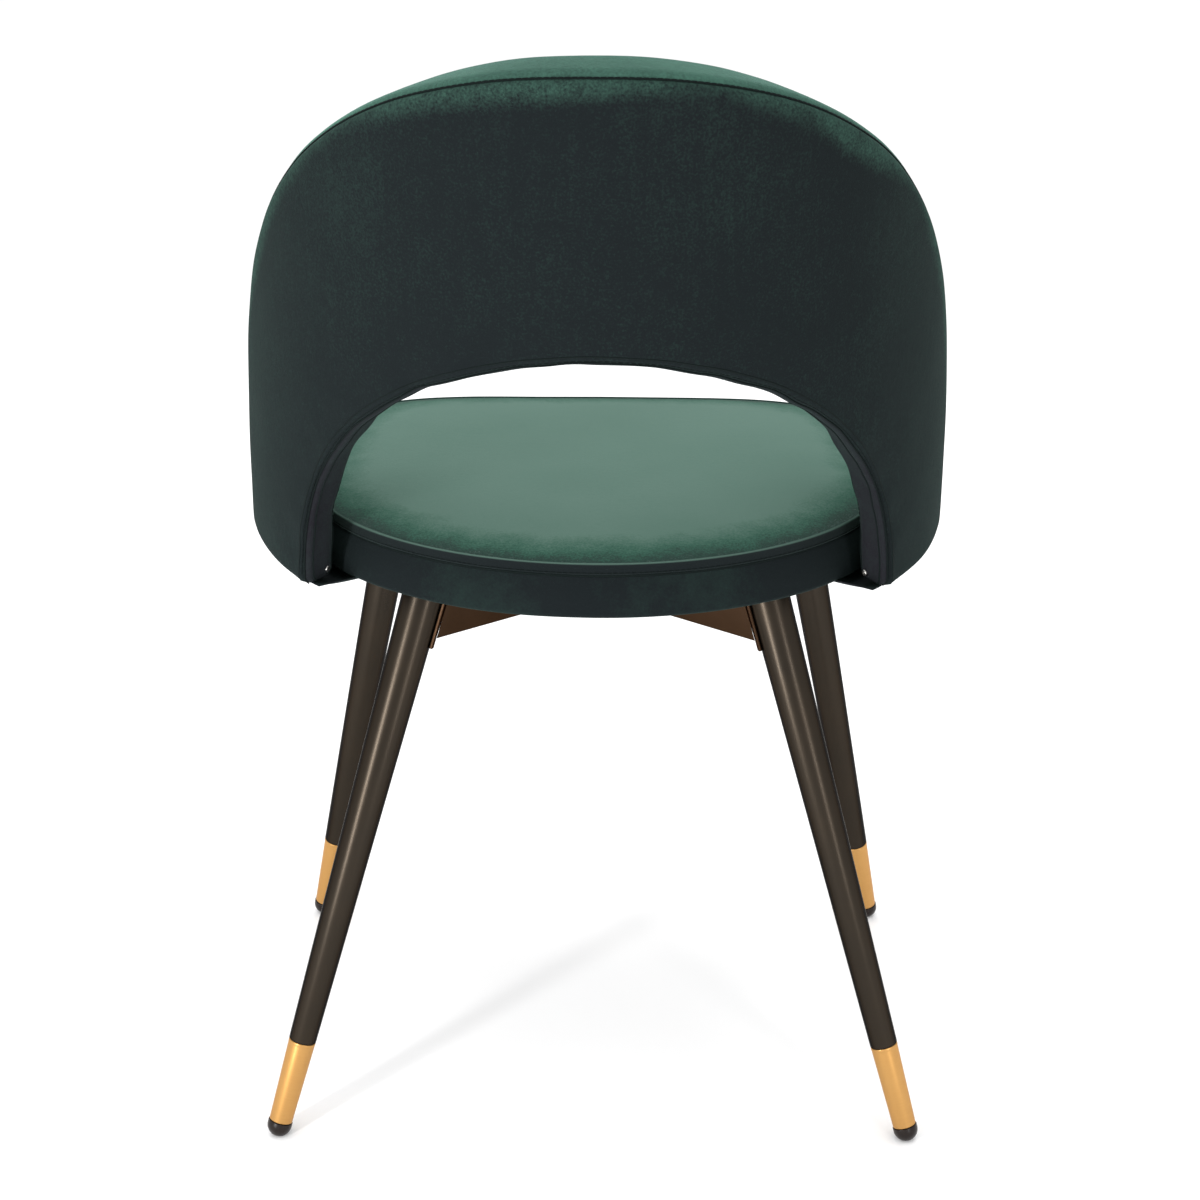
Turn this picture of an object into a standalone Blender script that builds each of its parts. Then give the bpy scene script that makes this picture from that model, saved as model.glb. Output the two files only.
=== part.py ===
"""Dining chair with a wrap-round upholstered back, an arched cut-out over the seat and four tapered metal legs.

Metres, +Z up. The sitter faces -Y, so +X is the sitter's left. Heights are measured from the floor. The plan of the
seat and of the back shares one centre, the axis of the half round at the rear; the last step moves the whole chair so
that its own box is centred over the origin.
"""

import math

import bmesh
import bpy
from mathutils import Matrix, Vector

# Clearances
GAP = 0.0003  # between pieces that touch
LAYER_GAP = 0.0006  # between the curved layers of the back
RIM_GAP = 0.0008  # under the curved edge bands of the back
CAP_GAP = 0.0009  # round the panels that close the wings' lower ends
FABRIC = 0.0015  # velvet with its backing
TINY = 1e-5

# Heights
SEAT_UNDERSIDE = 0.430  # of the seat board, from the floor
SEAT_SIDE_RISE = 0.027  # from the underside to the seam between the side band and the top panel
SEAT_RIM_RISE = 0.009  # from the seam to where the top panel turns over the edge
SEAT_CROWN_RISE = 0.011  # from there to the middle of the seat
BACK_RISE = 0.376  # from the seat's underside to the back's top edge, on its outer face
OPENING_RISE = 0.192  # from the seat's underside to the crown of the cut-out

# Back: one curved wall, half round in plan, that leans back towards its top
WALL_RADIUS = 0.2543  # outer face of the wall at the level of the seat
WALL_RECLINE = math.radians(11)
WALL_THICKNESS_LOW = 0.030  # beside the seat
WALL_THICKNESS_HIGH = 0.042  # at the top rail
WING_LIFT = 0.011  # a wing's lower end rises by this much from the cut-out to its front corner
THICKENS_AFTER = 0.050  # above the seat's underside the padding starts to grow
EDGE_SPRING_DROP = 0.047  # the top edge belongs to an arch that springs this far below the seat's underside
EDGE_HALF_ANGLE = math.radians(87.04)  # in plan, from the rear centre line to the front of a wing
EDGE_FULLNESS = 2.27  # shoulders of that arch: 2 would be an ellipse
EDGE_DROOP = 1.86  # and how soon it falls from its crown
OPENING_HALF_ANGLE = math.radians(52.6)  # in plan, at the seat
OPENING_FLARE = 0.25  # the cut-out's sides widen by this much for each unit of depth
RIM_ROUND_OUTSIDE = 0.006
RIM_ROUND_INSIDE = 0.012
OUTER_FOAM = 0.005
PLY_BACK = 0.008

# Seat: half round at the rear, squared with soft corners at the front
SEAT_CLEARANCE = 0.0063  # between the seat's foot and the wings
SEAT_FRONT = 0.220  # from the plan centre to the front edge
SEAT_SQUARENESS = 4.6  # exponent of the front half's outline
SEAT_TAPER = 0.006  # the seam lies this far in from the seat's foot
PLY_SEAT = 0.012
SEAT_TOP_PROFILE = ((0.000, 0.0), (0.0008, 0.6), (0.005, 1.0))  # inset and share of the way from the seam to the rim
SEAT_CROWN_PROFILE = ((0.024, 0.45), (0.072, 0.83), (0.150, 1.0))  # inset and share of the crown
DUST_COVER = 0.0008

# Legs: tapered tubes with a metal ferrule and a domed glide
LEG_TOP_CLEARANCE = 0.0061  # from the middle of the tube's top to the level of the channels' tops
LEG_TOP_RADIUS = 0.0153
LEG_FOOT_RADIUS = 0.0101  # where the tube meets the ferrule
LEG_WALL = 0.0015
FERRULE_LENGTH = 0.065
FERRULE_TIP_RADIUS = 0.0086
FERRULE_WALL = 0.0012
SPIGOT_LENGTH = 0.040  # the leg's narrow end inside the ferrule
GLIDE_RADIUS = 0.0091
GLIDE_COLLAR = 0.003  # from the dome's centre to the ferrule
GLIDE_STEM = 0.018
GLIDE_FLAT = 0.004  # radius of the flat that touches the floor
REAR_FOOT = Vector((0.2328, 0.165))
REAR_SPLAY = Vector((0.275, 0.152))  # outward run for each unit of height
FRONT_FOOT = Vector((0.2374, -0.2045))
FRONT_SPLAY = Vector((0.197, 0.156))

# Cross frame: folded channels, open downwards, with a saddle round each leg
RAIL_WIDTH = 0.024
RAIL_HEIGHT = 0.054
RAIL_SHEET = 0.0025
SADDLE_SHEET = 0.0025
SADDLE_HALF_ANGLE = math.radians(62)
SADDLE_BELOW_RAIL = 0.0035

# Fasteners
SEAT_BOLT_FROM_CROSSING = 0.095
M6_RADIUS = 0.003
M6_HEAD_RADIUS = 0.0055
M6_HEAD_HEIGHT = 0.0033
M6_HOLE = 0.0033
T_NUT_FLANGE = 0.0095
T_NUT_FLANGE_HEIGHT = 0.0012
T_NUT_BARREL = 0.0042
T_NUT_DEPTH = 0.009
LEG_BOLT_FROM_TOP = 0.017
LEG_BOLT_PITCH = 0.022
LEG_BOLT_LENGTH = 0.011

# Brackets that tie the wings to the seat board
BRACKET_ANGLE = math.radians(71.65)  # place round the wall, from the rear centre line
BRACKET_WIDTH = 0.040
BRACKET_SHEET = 0.003
BRACKET_RISE = 0.046
BRACKET_UNDER_SEAT = 0.041  # past the seat's foot
BRACKET_STANDOFF = 0.0018  # a flat plate against the hollow side of the shell
BRACKET_SCREW_SPREAD = 0.011
BRACKET_BACK_SCREW_RISE = 0.028
BRACKET_SEAT_SCREW_INSET = 0.012
SCREW_RADIUS = 0.0022
SCREW_HEAD_RADIUS = 0.0045
SCREW_HEAD_HEIGHT = 0.0024
SCREW_SHORT_OF_FACE = 0.0015  # a screw stops this far inside the far face of its board

AROUND_LEG = 20
AROUND_BOLT = 8
AROUND_SEAT = 44
ALONG_WALL = 18
ACROSS_WALL = 7

SEAT_RADIUS = WALL_RADIUS - WALL_THICKNESS_LOW - SEAT_CLEARANCE
SEAT_SEAM = SEAT_UNDERSIDE + SEAT_SIDE_RISE
SEAT_RIM = SEAT_SEAM + SEAT_RIM_RISE
SEAT_CROWN = SEAT_RIM + SEAT_CROWN_RISE
WING_BOTTOM = SEAT_UNDERSIDE
WALL_TOP = SEAT_UNDERSIDE + BACK_RISE
EDGE_BASE = SEAT_UNDERSIDE - EDGE_SPRING_DROP
EDGE_HALF_ARC = EDGE_HALF_ANGLE * WALL_RADIUS
OPENING_TOP = SEAT_UNDERSIDE + OPENING_RISE
OPENING_HALF_ARC = OPENING_HALF_ANGLE * WALL_RADIUS
THICKENS_FROM = SEAT_UNDERSIDE + THICKENS_AFTER
PLY_FAR = FABRIC + OUTER_FOAM + PLY_BACK + 2 * LAYER_GAP
RAIL_TOP = SEAT_UNDERSIDE - DUST_COVER - 2 * GAP
RAIL_BOTTOM = RAIL_TOP - RAIL_HEIGHT
LEG_TOP = RAIL_TOP - LEG_TOP_CLEARANCE
BOARD_TOP = SEAT_UNDERSIDE + PLY_SEAT
BRACKET_ARC = BRACKET_ANGLE * WALL_RADIUS

VELVET = ("velvet", (0.012, 0.045, 0.036), 0.85, 0.0)
FOAM = ("foam", (0.72, 0.66, 0.45), 0.95, 0.0)
PLYWOOD = ("plywood", (0.55, 0.38, 0.21), 0.7, 0.0)
LINING = ("lining", (0.012, 0.012, 0.012), 0.95, 0.0)
BLACK_STEEL = ("black_steel", (0.022, 0.019, 0.015), 0.32, 0.35)
GOLD = ("gold", (0.83, 0.53, 0.20), 0.28, 1.0)
BLACK_PLASTIC = ("black_plastic", (0.014, 0.011, 0.010), 0.35, 0.0)
ZINC = ("zinc", (0.55, 0.55, 0.53), 0.35, 1.0)


# ---------------------------------------------------------------- scene helpers


def clear_scene():
    for obj in list(bpy.data.objects):
        bpy.data.objects.remove(obj)


def new_collection(name):
    made = bpy.data.collections.new(name)
    bpy.context.scene.collection.children.link(made)
    return made


def material(finish):
    name, colour, roughness, metallic = finish
    found = bpy.data.materials.get(name)
    if found:
        return found
    made = bpy.data.materials.new(name)
    made.use_nodes = True
    shader = made.node_tree.nodes["Principled BSDF"]
    shader.inputs["Base Color"].default_value = (*colour, 1.0)
    shader.inputs["Roughness"].default_value = roughness
    shader.inputs["Metallic"].default_value = metallic
    return made


def add_object(name, data, finish, place=None, collection=None):
    obj = bpy.data.objects.new(name, data)
    (collection or PARTS).objects.link(obj)
    data.materials.append(material(finish))
    if collection is None:
        obj.parent = CHAIR
    if place is not None:
        obj.matrix_local = place
    return obj


def mesh_from(bm, name, smooth_under=40):
    bmesh.ops.remove_doubles(bm, verts=bm.verts, dist=TINY)
    bmesh.ops.recalc_face_normals(bm, faces=bm.faces)
    mesh = bpy.data.meshes.new(name)
    bm.to_mesh(mesh)
    bm.free()
    mesh.shade_smooth()
    mesh.set_sharp_from_angle(angle=math.radians(smooth_under))
    return mesh


def turned(profile, steps):
    """A solid of revolution about Z. The profile is a list of (radius, height) that starts and ends on the axis."""
    bm = bmesh.new()
    corners = [bm.verts.new((r, 0, z)) for r, z in profile]
    for a, b in zip(corners, corners[1:]):
        bm.edges.new((a, b))
    return spun(bm, steps)


def turned_ring(profile, steps):
    """A solid of revolution with a hole along Z. The profile is a closed loop of (radius, height)."""
    bm = bmesh.new()
    corners = [bm.verts.new((r, 0, z)) for r, z in profile]
    for a, b in zip(corners, corners[1:] + corners[:1]):
        bm.edges.new((a, b))
    return spun(bm, steps)


def spun(bm, steps):
    whole = bm.verts[:] + bm.edges[:]
    turn = 2 * math.pi
    bmesh.ops.spin(bm, geom=whole, cent=(0, 0, 0), axis=(0, 0, 1), angle=turn, steps=steps, use_merge=True)
    return bm


def turned_sector(profile, half_angle, steps):
    """A length of ring about Z, centred on +X and closed at its two ends."""
    bm = bmesh.new()
    corners = [bm.verts.new((r * math.cos(half_angle), -r * math.sin(half_angle), z)) for r, z in profile]
    face = bm.faces.new(corners)
    bmesh.ops.spin(bm, geom=[face], cent=(0, 0, 0), axis=(0, 0, 1), angle=2 * half_angle, steps=steps)
    return bm


def cut(obj, cutter):
    """Takes the cutter out of obj. Cutters stay in their own collection, out of the render."""
    cutter.hide_render = True
    cutter.display_type = "WIRE"
    taken = obj.modifiers.new(cutter.name, "BOOLEAN")
    taken.operation = "DIFFERENCE"
    taken.solver = "EXACT"
    taken.object = cutter


def cylinder_cutter(name, radius, length, place, steps=AROUND_BOLT):
    """A cylinder along the place's own Z, centred on it."""
    bm = bmesh.new()
    bmesh.ops.create_cone(
        bm, cap_ends=True, segments=steps, radius1=radius, radius2=radius, depth=length
    )
    return place_cutter(name, bm, place)


def box_cutter(name, size, place):
    bm = bmesh.new()
    bmesh.ops.create_cube(bm, size=1.0)
    bmesh.ops.scale(bm, vec=size, verts=bm.verts)
    return place_cutter(name, bm, place)


def place_cutter(name, bm, place):
    cutter = add_object(name, mesh_from(bm, name), LINING, collection=CUTTERS)
    cutter.parent = CHAIR
    cutter.matrix_local = place
    cutter.hide_render = True
    cutter.display_type = "WIRE"
    return cutter


def shift(x=0.0, y=0.0, z=0.0):
    return Matrix.Translation((x, y, z))


def frame_at(origin, z_axis, towards):
    """A frame with its Z along z_axis and its X as near as it can be to the direction towards."""
    z_axis = Vector(z_axis).normalized()
    x_axis = Vector(towards) - Vector(towards).dot(z_axis) * z_axis
    x_axis.normalize()
    y_axis = z_axis.cross(x_axis)
    rotation = Matrix((x_axis, y_axis, z_axis)).transposed()
    return Matrix.Translation(origin) @ rotation.to_4x4()


# ---------------------------------------------------------------- the back's wall


def wall_thickness(height):
    share = (height - THICKENS_FROM) / (WALL_TOP - THICKENS_FROM)
    share = min(max(share, 0.0), 1.0)
    return WALL_THICKNESS_LOW + (WALL_THICKNESS_HIGH - WALL_THICKNESS_LOW) * share


def wall_point(arc, height, depth):
    """The point this far round the wall from the rear centre line, at this height and this deep under its outer face."""
    angle = arc / WALL_RADIUS
    lean = math.tan(WALL_RECLINE)
    rearward = WALL_RADIUS + (height - WING_BOTTOM) * lean
    if angle > math.pi / 2:
        return Vector((WALL_RADIUS - depth, -(arc - WALL_RADIUS * math.pi / 2), height))
    sine, cosine = math.sin(angle), math.cos(angle)
    face = Vector((WALL_RADIUS * sine, rearward * cosine, height))
    outward = Vector((sine / WALL_RADIUS, cosine / rearward, -cosine * cosine * lean / rearward))
    return face - outward.normalized() * depth


def wing_foot(arc):
    """Height of a wing's lower end this far round the wall."""
    share = (arc - OPENING_HALF_ARC) / (EDGE_HALF_ARC - OPENING_HALF_ARC)
    return WING_BOTTOM + WING_LIFT * min(max(share, 0.0), 1.0)


def opening_edge(share, depth):
    """The cut-out's edge, from the top of its arch (0) to the seat (1), as (arc, height)."""
    angle = share * math.pi / 2
    half = OPENING_HALF_ARC + OPENING_FLARE * depth
    return Vector((half * math.sin(angle), WING_BOTTOM + (OPENING_TOP - WING_BOTTOM) * math.cos(angle)))


def top_edge(share, depth):
    """The wall's own edge, from the top of the back (0) down the front of a wing (1), as (arc, height)."""
    rise = WALL_TOP - EDGE_BASE
    last = math.acos(((WING_BOTTOM + WING_LIFT - EDGE_BASE) / rise) ** (EDGE_DROOP / 2))
    angle = share * last
    arc = EDGE_HALF_ARC * math.sin(angle) ** (2 / EDGE_FULLNESS)
    return Vector((arc, EDGE_BASE + rise * math.cos(angle) ** (2 / EDGE_DROOP)))


def beside(edge, share, depth, distance, outward):
    """A point this far from the edge, square to it. outward is +1 away from the padding for the top edge, -1 for the
    cut-out, whose padding lies above it."""
    step = 0.002
    low, high = max(share - step, 0.0), min(share + step, 1.0)
    run = edge(high, depth) - edge(low, depth)
    if share < step:
        run.y = 0.0
    square = Vector((-run.y, run.x)).normalized() * outward
    return edge(share, depth) + square * distance


def rim_inset(depth, thickness):
    """How far from the rim a layer stops at this depth, so that it lies inside the edge band's rounded strip."""
    under = FABRIC + RIM_GAP
    inset = under
    for radius, below_face in ((RIM_ROUND_OUTSIDE, depth), (RIM_ROUND_INSIDE, thickness - depth)):
        if below_face < radius:
            inside = radius - under
            off_centre = min(radius - below_face, inside)
            inset = radius - math.sqrt(inside**2 - off_centre**2)
    return inset


def layer_depth(rule, thickness):
    """A depth under the outer face. A negative rule counts from the inner face, and None is the inner face."""
    if rule is None:
        return thickness
    return rule if rule >= 0 else thickness + rule


def rim_point(edge, along, rule, outward, square_rims):
    """Where a layer meets the edge band, as (arc, height), and the wall's thickness there."""
    thickness = wall_thickness(edge(along, 0.0).y)
    depth = layer_depth(rule, thickness)
    inset = rim_inset(depth, thickness)
    if square_rims:
        inset = GAP + (RIM_ROUND_OUTSIDE if depth < thickness / 2 else RIM_ROUND_INSIDE)
    return beside(edge, along, depth, -inset, outward), thickness


def wall_layer(name, near_rule, far_rule, finish, square_rims=False, foot=0.0):
    """One layer of the sandwich, between two depths."""

    def place(along, across, rule):
        low, thin = rim_point(opening_edge, along, rule, -1, square_rims)
        high, thick = rim_point(top_edge, along, rule, 1, square_rims)
        flat = low.lerp(high, across)
        depth = layer_depth(rule, thin + (thick - thin) * across)
        return wall_point(flat.x, max(flat.y, wing_foot(flat.x) + foot), depth)

    mesh = sheet_mesh(name, ACROSS_WALL, lambda a, c: place(a, c, near_rule), lambda a, c: place(a, c, far_rule))
    return mirrored(add_object(name, mesh, finish))


def sheet_mesh(name, across_count, near, far):
    """Half a curved sheet with thickness, open on the mirror plane. near and far place its two faces for a share along
    it, from the mirror plane, and a share across it."""
    bm = bmesh.new()
    bmesh.ops.create_grid(bm, x_segments=ALONG_WALL, y_segments=across_count, size=0.5)
    shares = bm.verts.layers.float_vector.new("shares")
    for vert in bm.verts:
        vert[shares] = (vert.co.x + 0.5, vert.co.y + 0.5, 0.0)
    grown = bmesh.ops.extrude_face_region(bm, geom=bm.faces[:])
    far_verts = {v for v in grown["geom"] if isinstance(v, bmesh.types.BMVert)}
    for vert in bm.verts:
        along, across, _ = vert[shares]
        vert.co = (far if vert in far_verts else near)(along, across)
    on_plane = [f for f in bm.faces if all(v[shares].x < TINY for v in f.verts)]
    bmesh.ops.delete(bm, geom=on_plane, context="FACES")
    for vert in bm.verts:
        if vert[shares].x < TINY:
            vert.co.x = 0.0
    return mesh_from(bm, name)


def mirrored(obj):
    mirror = obj.modifiers.new("other_half", "MIRROR")
    mirror.use_clip = True
    mirror.merge_threshold = 1e-4
    return obj


def edge_band(name, edge, outward):
    """The strip of velvet that wraps an edge of the wall, from the outer panel to the inner one."""
    sections = 8

    def section(share, turn, lift):
        """The band's cross-section: depth, and distance from the edge. lift is 0 on its face, 1 under it."""
        height = edge(share, 0.0).y
        thickness = wall_thickness(height)
        under = FABRIC * lift
        outside, inside = RIM_ROUND_OUTSIDE - under, RIM_ROUND_INSIDE - under
        if turn <= 0.375:
            angle = turn / 0.375 * math.pi / 2
            return RIM_ROUND_OUTSIDE - outside * math.cos(angle), outside * math.sin(angle) - RIM_ROUND_OUTSIDE
        if turn >= 0.625:
            angle = (1 - turn) / 0.375 * math.pi / 2
            depth = thickness - RIM_ROUND_INSIDE + inside * math.cos(angle)
            return depth, inside * math.sin(angle) - RIM_ROUND_INSIDE
        return thickness / 2, -under

    def place(along, across, lift):
        depth, distance = section(along, across, lift)
        flat = beside(edge, along, depth, distance, outward)
        return wall_point(flat.x, max(flat.y, wing_foot(flat.x)), depth)

    mesh = sheet_mesh(name, sections, lambda a, c: place(a, c, 0.0), lambda a, c: place(a, c, 1.0))
    return mirrored(add_object(name, mesh, VELVET))


def make_bottom_panels():
    """The strips of velvet that close the lower end of each wing, between the two edge bands."""
    inner = WALL_THICKNESS_LOW - FABRIC - CAP_GAP

    def place(along, across):
        depth = FABRIC + CAP_GAP + (inner - FABRIC - CAP_GAP) * across
        inset = rim_inset(depth, WALL_THICKNESS_LOW) + CAP_GAP
        low = beside(opening_edge, 1.0, depth, -inset, -1)
        high = beside(top_edge, 1.0, depth, -inset, 1)
        arc = low.lerp(high, along).x
        return wall_point(arc, wing_foot(arc), depth)

    for side, word in ((1, "left"), (-1, "right")):
        name = f"back_bottom_panel_{word}"
        bm = bmesh.new()
        bmesh.ops.create_grid(bm, x_segments=ACROSS_WALL, y_segments=6, size=0.5)
        for vert in bm.verts:
            vert.co = place(vert.co.x + 0.5, vert.co.y + 0.5)
            vert.co.x *= side
        grown = bmesh.ops.extrude_face_region(bm, geom=bm.faces[:])
        raised = [v for v in grown["geom"] if isinstance(v, bmesh.types.BMVert)]
        bmesh.ops.translate(bm, verts=raised, vec=(0, 0, FABRIC))
        add_object(name, mesh_from(bm, name), VELVET)


def make_bracket(side, word):
    """A bent plate: one limb stands inside the wing against the shell, the other lies under the seat board."""
    spot = wall_point(BRACKET_ARC, WING_BOTTOM, 0.0)
    inner = wall_point(BRACKET_ARC, WING_BOTTOM, 0.01)
    above = wall_point(BRACKET_ARC, WING_BOTTOM + 0.01, 0.0)
    inward = Vector((inner.x - spot.x, inner.y - spot.y, 0)).normalized()
    lean = (above - spot).dot(inward) / 0.01
    spot.x *= side
    inward.x *= side
    frame = frame_at((spot.x, spot.y, 0), (0, 0, 1), inward)

    near = PLY_FAR + GAP + BRACKET_STANDOFF
    reach = WALL_THICKNESS_LOW + SEAT_CLEARANCE + BRACKET_UNDER_SEAT - near
    low, high = RAIL_TOP - BRACKET_SHEET, WING_BOTTOM + BRACKET_RISE
    top_near = near + lean * BRACKET_RISE
    outline = [
        (near, low),
        (near + reach, low),
        (near + reach, RAIL_TOP),
        (near + BRACKET_SHEET, RAIL_TOP),
        (top_near + BRACKET_SHEET, high),
        (top_near, high),
    ]
    seat_screw = BOARD_TOP - SCREW_SHORT_OF_FACE - (low - GAP)
    back_screw = GAP + BRACKET_SHEET + BRACKET_STANDOFF + GAP + PLY_BACK - SCREW_SHORT_OF_FACE
    name = f"back_bracket_{word}"
    bracket = add_object(name, mesh_from(prism(outline, BRACKET_WIDTH), name), BLACK_STEEL, frame)

    # Room for the standing limb in the foam and through the bottom panel
    wide = BRACKET_WIDTH + 4 * GAP
    pocket = [
        (near - BRACKET_STANDOFF - 2 * GAP, low),
        (near + BRACKET_SHEET + SCREW_HEAD_HEIGHT + 3 * GAP, low),
        (top_near + BRACKET_SHEET + SCREW_HEAD_HEIGHT + 3 * GAP, high + 2 * GAP),
        (top_near - BRACKET_STANDOFF - 2 * GAP, high + 2 * GAP),
    ]
    name = f"bracket_pocket_{word}"
    pocket_cutter = place_cutter(name, prism(pocket, wide), frame)
    cut(bpy.data.objects["back_inner_foam"], pocket_cutter)
    slot = [(x + d, z) for (x, z), d in zip(pocket, (0, -SCREW_HEAD_HEIGHT, -SCREW_HEAD_HEIGHT, 0))]
    slot = [(slot[0][0], low), (slot[1][0], low), (slot[1][0], BOARD_TOP), (slot[0][0], BOARD_TOP)]
    name = f"bracket_slot_{word}"
    cut(bpy.data.objects[f"back_bottom_panel_{word}"], place_cutter(name, prism(slot, wide), frame))

    for offset, end in ((-BRACKET_SCREW_SPREAD, "a"), (BRACKET_SCREW_SPREAD, "b")):
        inset = near + reach - BRACKET_SEAT_SCREW_INSET
        place = frame @ shift(inset, offset, low - GAP) @ Matrix.Rotation(math.pi, 4, "X")
        pilot = make_screw(f"bracket_seat_screw_{word}_{end}", place, seat_screw)
        for target in (bracket, bpy.data.objects["seat_board"], bpy.data.objects["seat_dust_cover"]):
            cut(target, pilot)

        rise = BRACKET_BACK_SCREW_RISE
        foot = Vector((near + BRACKET_SHEET + GAP + lean * rise, offset, WING_BOTTOM + rise))
        across = Vector((1, 0, -lean))
        place = frame @ frame_at(foot, across, (0, 1, 0))
        pilot = make_screw(f"bracket_back_screw_{word}_{end}", place, back_screw)
        for target in (bracket, bpy.data.objects["back_plywood_shell"]):
            cut(target, pilot)


def prism(outline, width):
    """A flat outline of (x, z) drawn across Y and given a width, half to each side."""
    bm = bmesh.new()
    corners = [bm.verts.new((x, -width / 2, z)) for x, z in outline]
    face = bm.faces.new(corners)
    grown = bmesh.ops.extrude_face_region(bm, geom=[face])
    moved = [v for v in grown["geom"] if isinstance(v, bmesh.types.BMVert)]
    bmesh.ops.translate(bm, verts=moved, vec=(0, width, 0))
    return bm


def make_screw(name, place, length):
    """A screw whose head stands on the place's Z = 0 and whose shank goes down. Returns the cutter for its hole."""
    head, shank = SCREW_HEAD_RADIUS, SCREW_RADIUS
    profile = [(0, SCREW_HEAD_HEIGHT), (head * 0.6, SCREW_HEAD_HEIGHT), (head, 0), (shank, 0), (shank, -length)]
    profile.append((0, -length))
    add_object(name, mesh_from(turned(profile, AROUND_BOLT), name), ZINC, place)
    reach = length + 3 * GAP
    return cylinder_cutter(f"{name}_hole", shank + GAP, reach, place @ shift(z=-reach / 2))


# ---------------------------------------------------------------- the seat


def seat_outline(inset):
    """Points round the seat, anticlockwise from the sitter's left."""
    across, forward = SEAT_RADIUS - inset, SEAT_FRONT - inset
    power = 2 / SEAT_SQUARENESS
    points = []
    for i in range(AROUND_SEAT):
        angle = 2 * math.pi * i / AROUND_SEAT
        c, s = math.cos(angle), math.sin(angle)
        if s >= -TINY:
            points.append((across * c, across * s))
        else:
            points.append((math.copysign(abs(c) ** power, c) * across, -forward * abs(s) ** power))
    return points


def lofted(rings, loop=False):
    """A solid through rings of (inset, height), closed by its first and last ring or, as a loop, on itself."""
    bm = bmesh.new()
    number = bm.verts.layers.int.new("number")
    inset, height = rings[0]
    verts = [bm.verts.new((x, y, height)) for x, y in seat_outline(inset)]
    for i, vert in enumerate(verts):
        vert[number] = i
    edges = [bm.edges.new((a, b)) for a, b in zip(verts, verts[1:] + verts[:1])]
    if not loop:
        bmesh.ops.contextual_create(bm, geom=edges)
    for inset, height in rings[1:] + (rings[:1] if loop else []):
        grown = bmesh.ops.extrude_edge_only(bm, edges=edges)["geom"]
        edges = [e for e in grown if isinstance(e, bmesh.types.BMEdge)]
        outline = seat_outline(inset)
        for vert in (v for v in grown if isinstance(v, bmesh.types.BMVert)):
            vert.co = (*outline[vert[number]], height)
    if not loop:
        bmesh.ops.contextual_create(bm, geom=edges)
    return bm


def side_inset(height):
    """How far in from the seat's foot its side lies at this height."""
    return SEAT_TAPER * (height - SEAT_UNDERSIDE) / (SEAT_SEAM - SEAT_UNDERSIDE)


def seat_top(under):
    """Rings of the seat's top from the seam to the crown, this far under its surface."""
    rings = []
    for inset, share in SEAT_TOP_PROFILE:
        height = SEAT_SEAM + GAP + (SEAT_RIM - SEAT_SEAM) * share
        rings.append(Vector((SEAT_TAPER + inset, height)))
    for inset, share in SEAT_CROWN_PROFILE:
        rings.append(Vector((SEAT_TAPER + inset, SEAT_RIM + (SEAT_CROWN - SEAT_RIM) * share)))
    lowered = []
    for i, ring in enumerate(rings):
        run = rings[min(i + 1, len(rings) - 1)] - rings[max(i - 1, 0)]
        if i == 0:
            run.x = 0.0
        if i == len(rings) - 1:
            run.y = 0.0
        normal = Vector((run.y, -run.x)).normalized()
        lowered.append(ring + normal * under)
    return lowered


def make_seat():
    inner = FABRIC + GAP
    board_inset = side_inset(BOARD_TOP) + inner
    board = lofted([(board_inset, SEAT_UNDERSIDE), (board_inset, BOARD_TOP)])
    add_object("seat_board", mesh_from(board, "seat_board"), PLYWOOD)

    cover_top = SEAT_UNDERSIDE - GAP
    cover = lofted([(board_inset, cover_top - DUST_COVER), (board_inset, cover_top)])
    add_object("seat_dust_cover", mesh_from(cover, "seat_dust_cover"), LINING)

    foot, seam = side_inset(SEAT_UNDERSIDE), side_inset(SEAT_SEAM)
    band = [(foot, SEAT_UNDERSIDE), (seam, SEAT_SEAM), (seam + FABRIC, SEAT_SEAM), (foot + FABRIC, SEAT_UNDERSIDE)]
    add_object("seat_side_band", mesh_from(lofted(band, loop=True), "seat_side_band"), VELVET)

    foam_foot = BOARD_TOP + GAP
    foam = [(side_inset(foam_foot) + inner, foam_foot)] + [tuple(ring) for ring in seat_top(inner)]
    add_object("seat_foam", mesh_from(lofted(foam), "seat_foam"), FOAM)

    panel = [tuple(ring) for ring in reversed(seat_top(FABRIC))] + [tuple(ring) for ring in seat_top(0.0)]
    add_object("seat_top_panel", mesh_from(lofted(panel), "seat_top_panel"), VELVET)


# ---------------------------------------------------------------- legs and cross frame


def dome_height():
    """The middle of a glide's dome stands this high, so that its flat has the asked radius."""
    return math.sqrt(GLIDE_RADIUS**2 - GLIDE_FLAT**2)


class Leg:
    """One leg's axis. Distances along it count from the middle of the glide's dome."""

    def __init__(self, side, word, foot, splay, inwards):
        self.word = word
        self.foot = Vector((foot.x * side, foot.y, dome_height()))
        slope = Vector((-splay.x * side, splay.y * inwards, 1.0))
        self.up = slope.normalized()
        self.length = (LEG_TOP - self.foot.z) / self.up.z
        self.ferrule_foot = GLIDE_COLLAR + GAP
        self.tube_foot = self.ferrule_foot + FERRULE_LENGTH + GAP

    def at(self, along):
        return self.foot + self.up * along

    def along_at(self, height):
        return (height - self.foot.z) / self.up.z

    def radius(self, along):
        share = (along - self.tube_foot) / (self.length - self.tube_foot)
        return LEG_FOOT_RADIUS + (LEG_TOP_RADIUS - LEG_FOOT_RADIUS) * share

    def ferrule_radius(self, along):
        share = (along - self.ferrule_foot) / FERRULE_LENGTH
        return FERRULE_TIP_RADIUS + (LEG_FOOT_RADIUS - FERRULE_TIP_RADIUS) * share

    def frame(self, towards):
        return frame_at(self.foot, self.up, towards)


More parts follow.
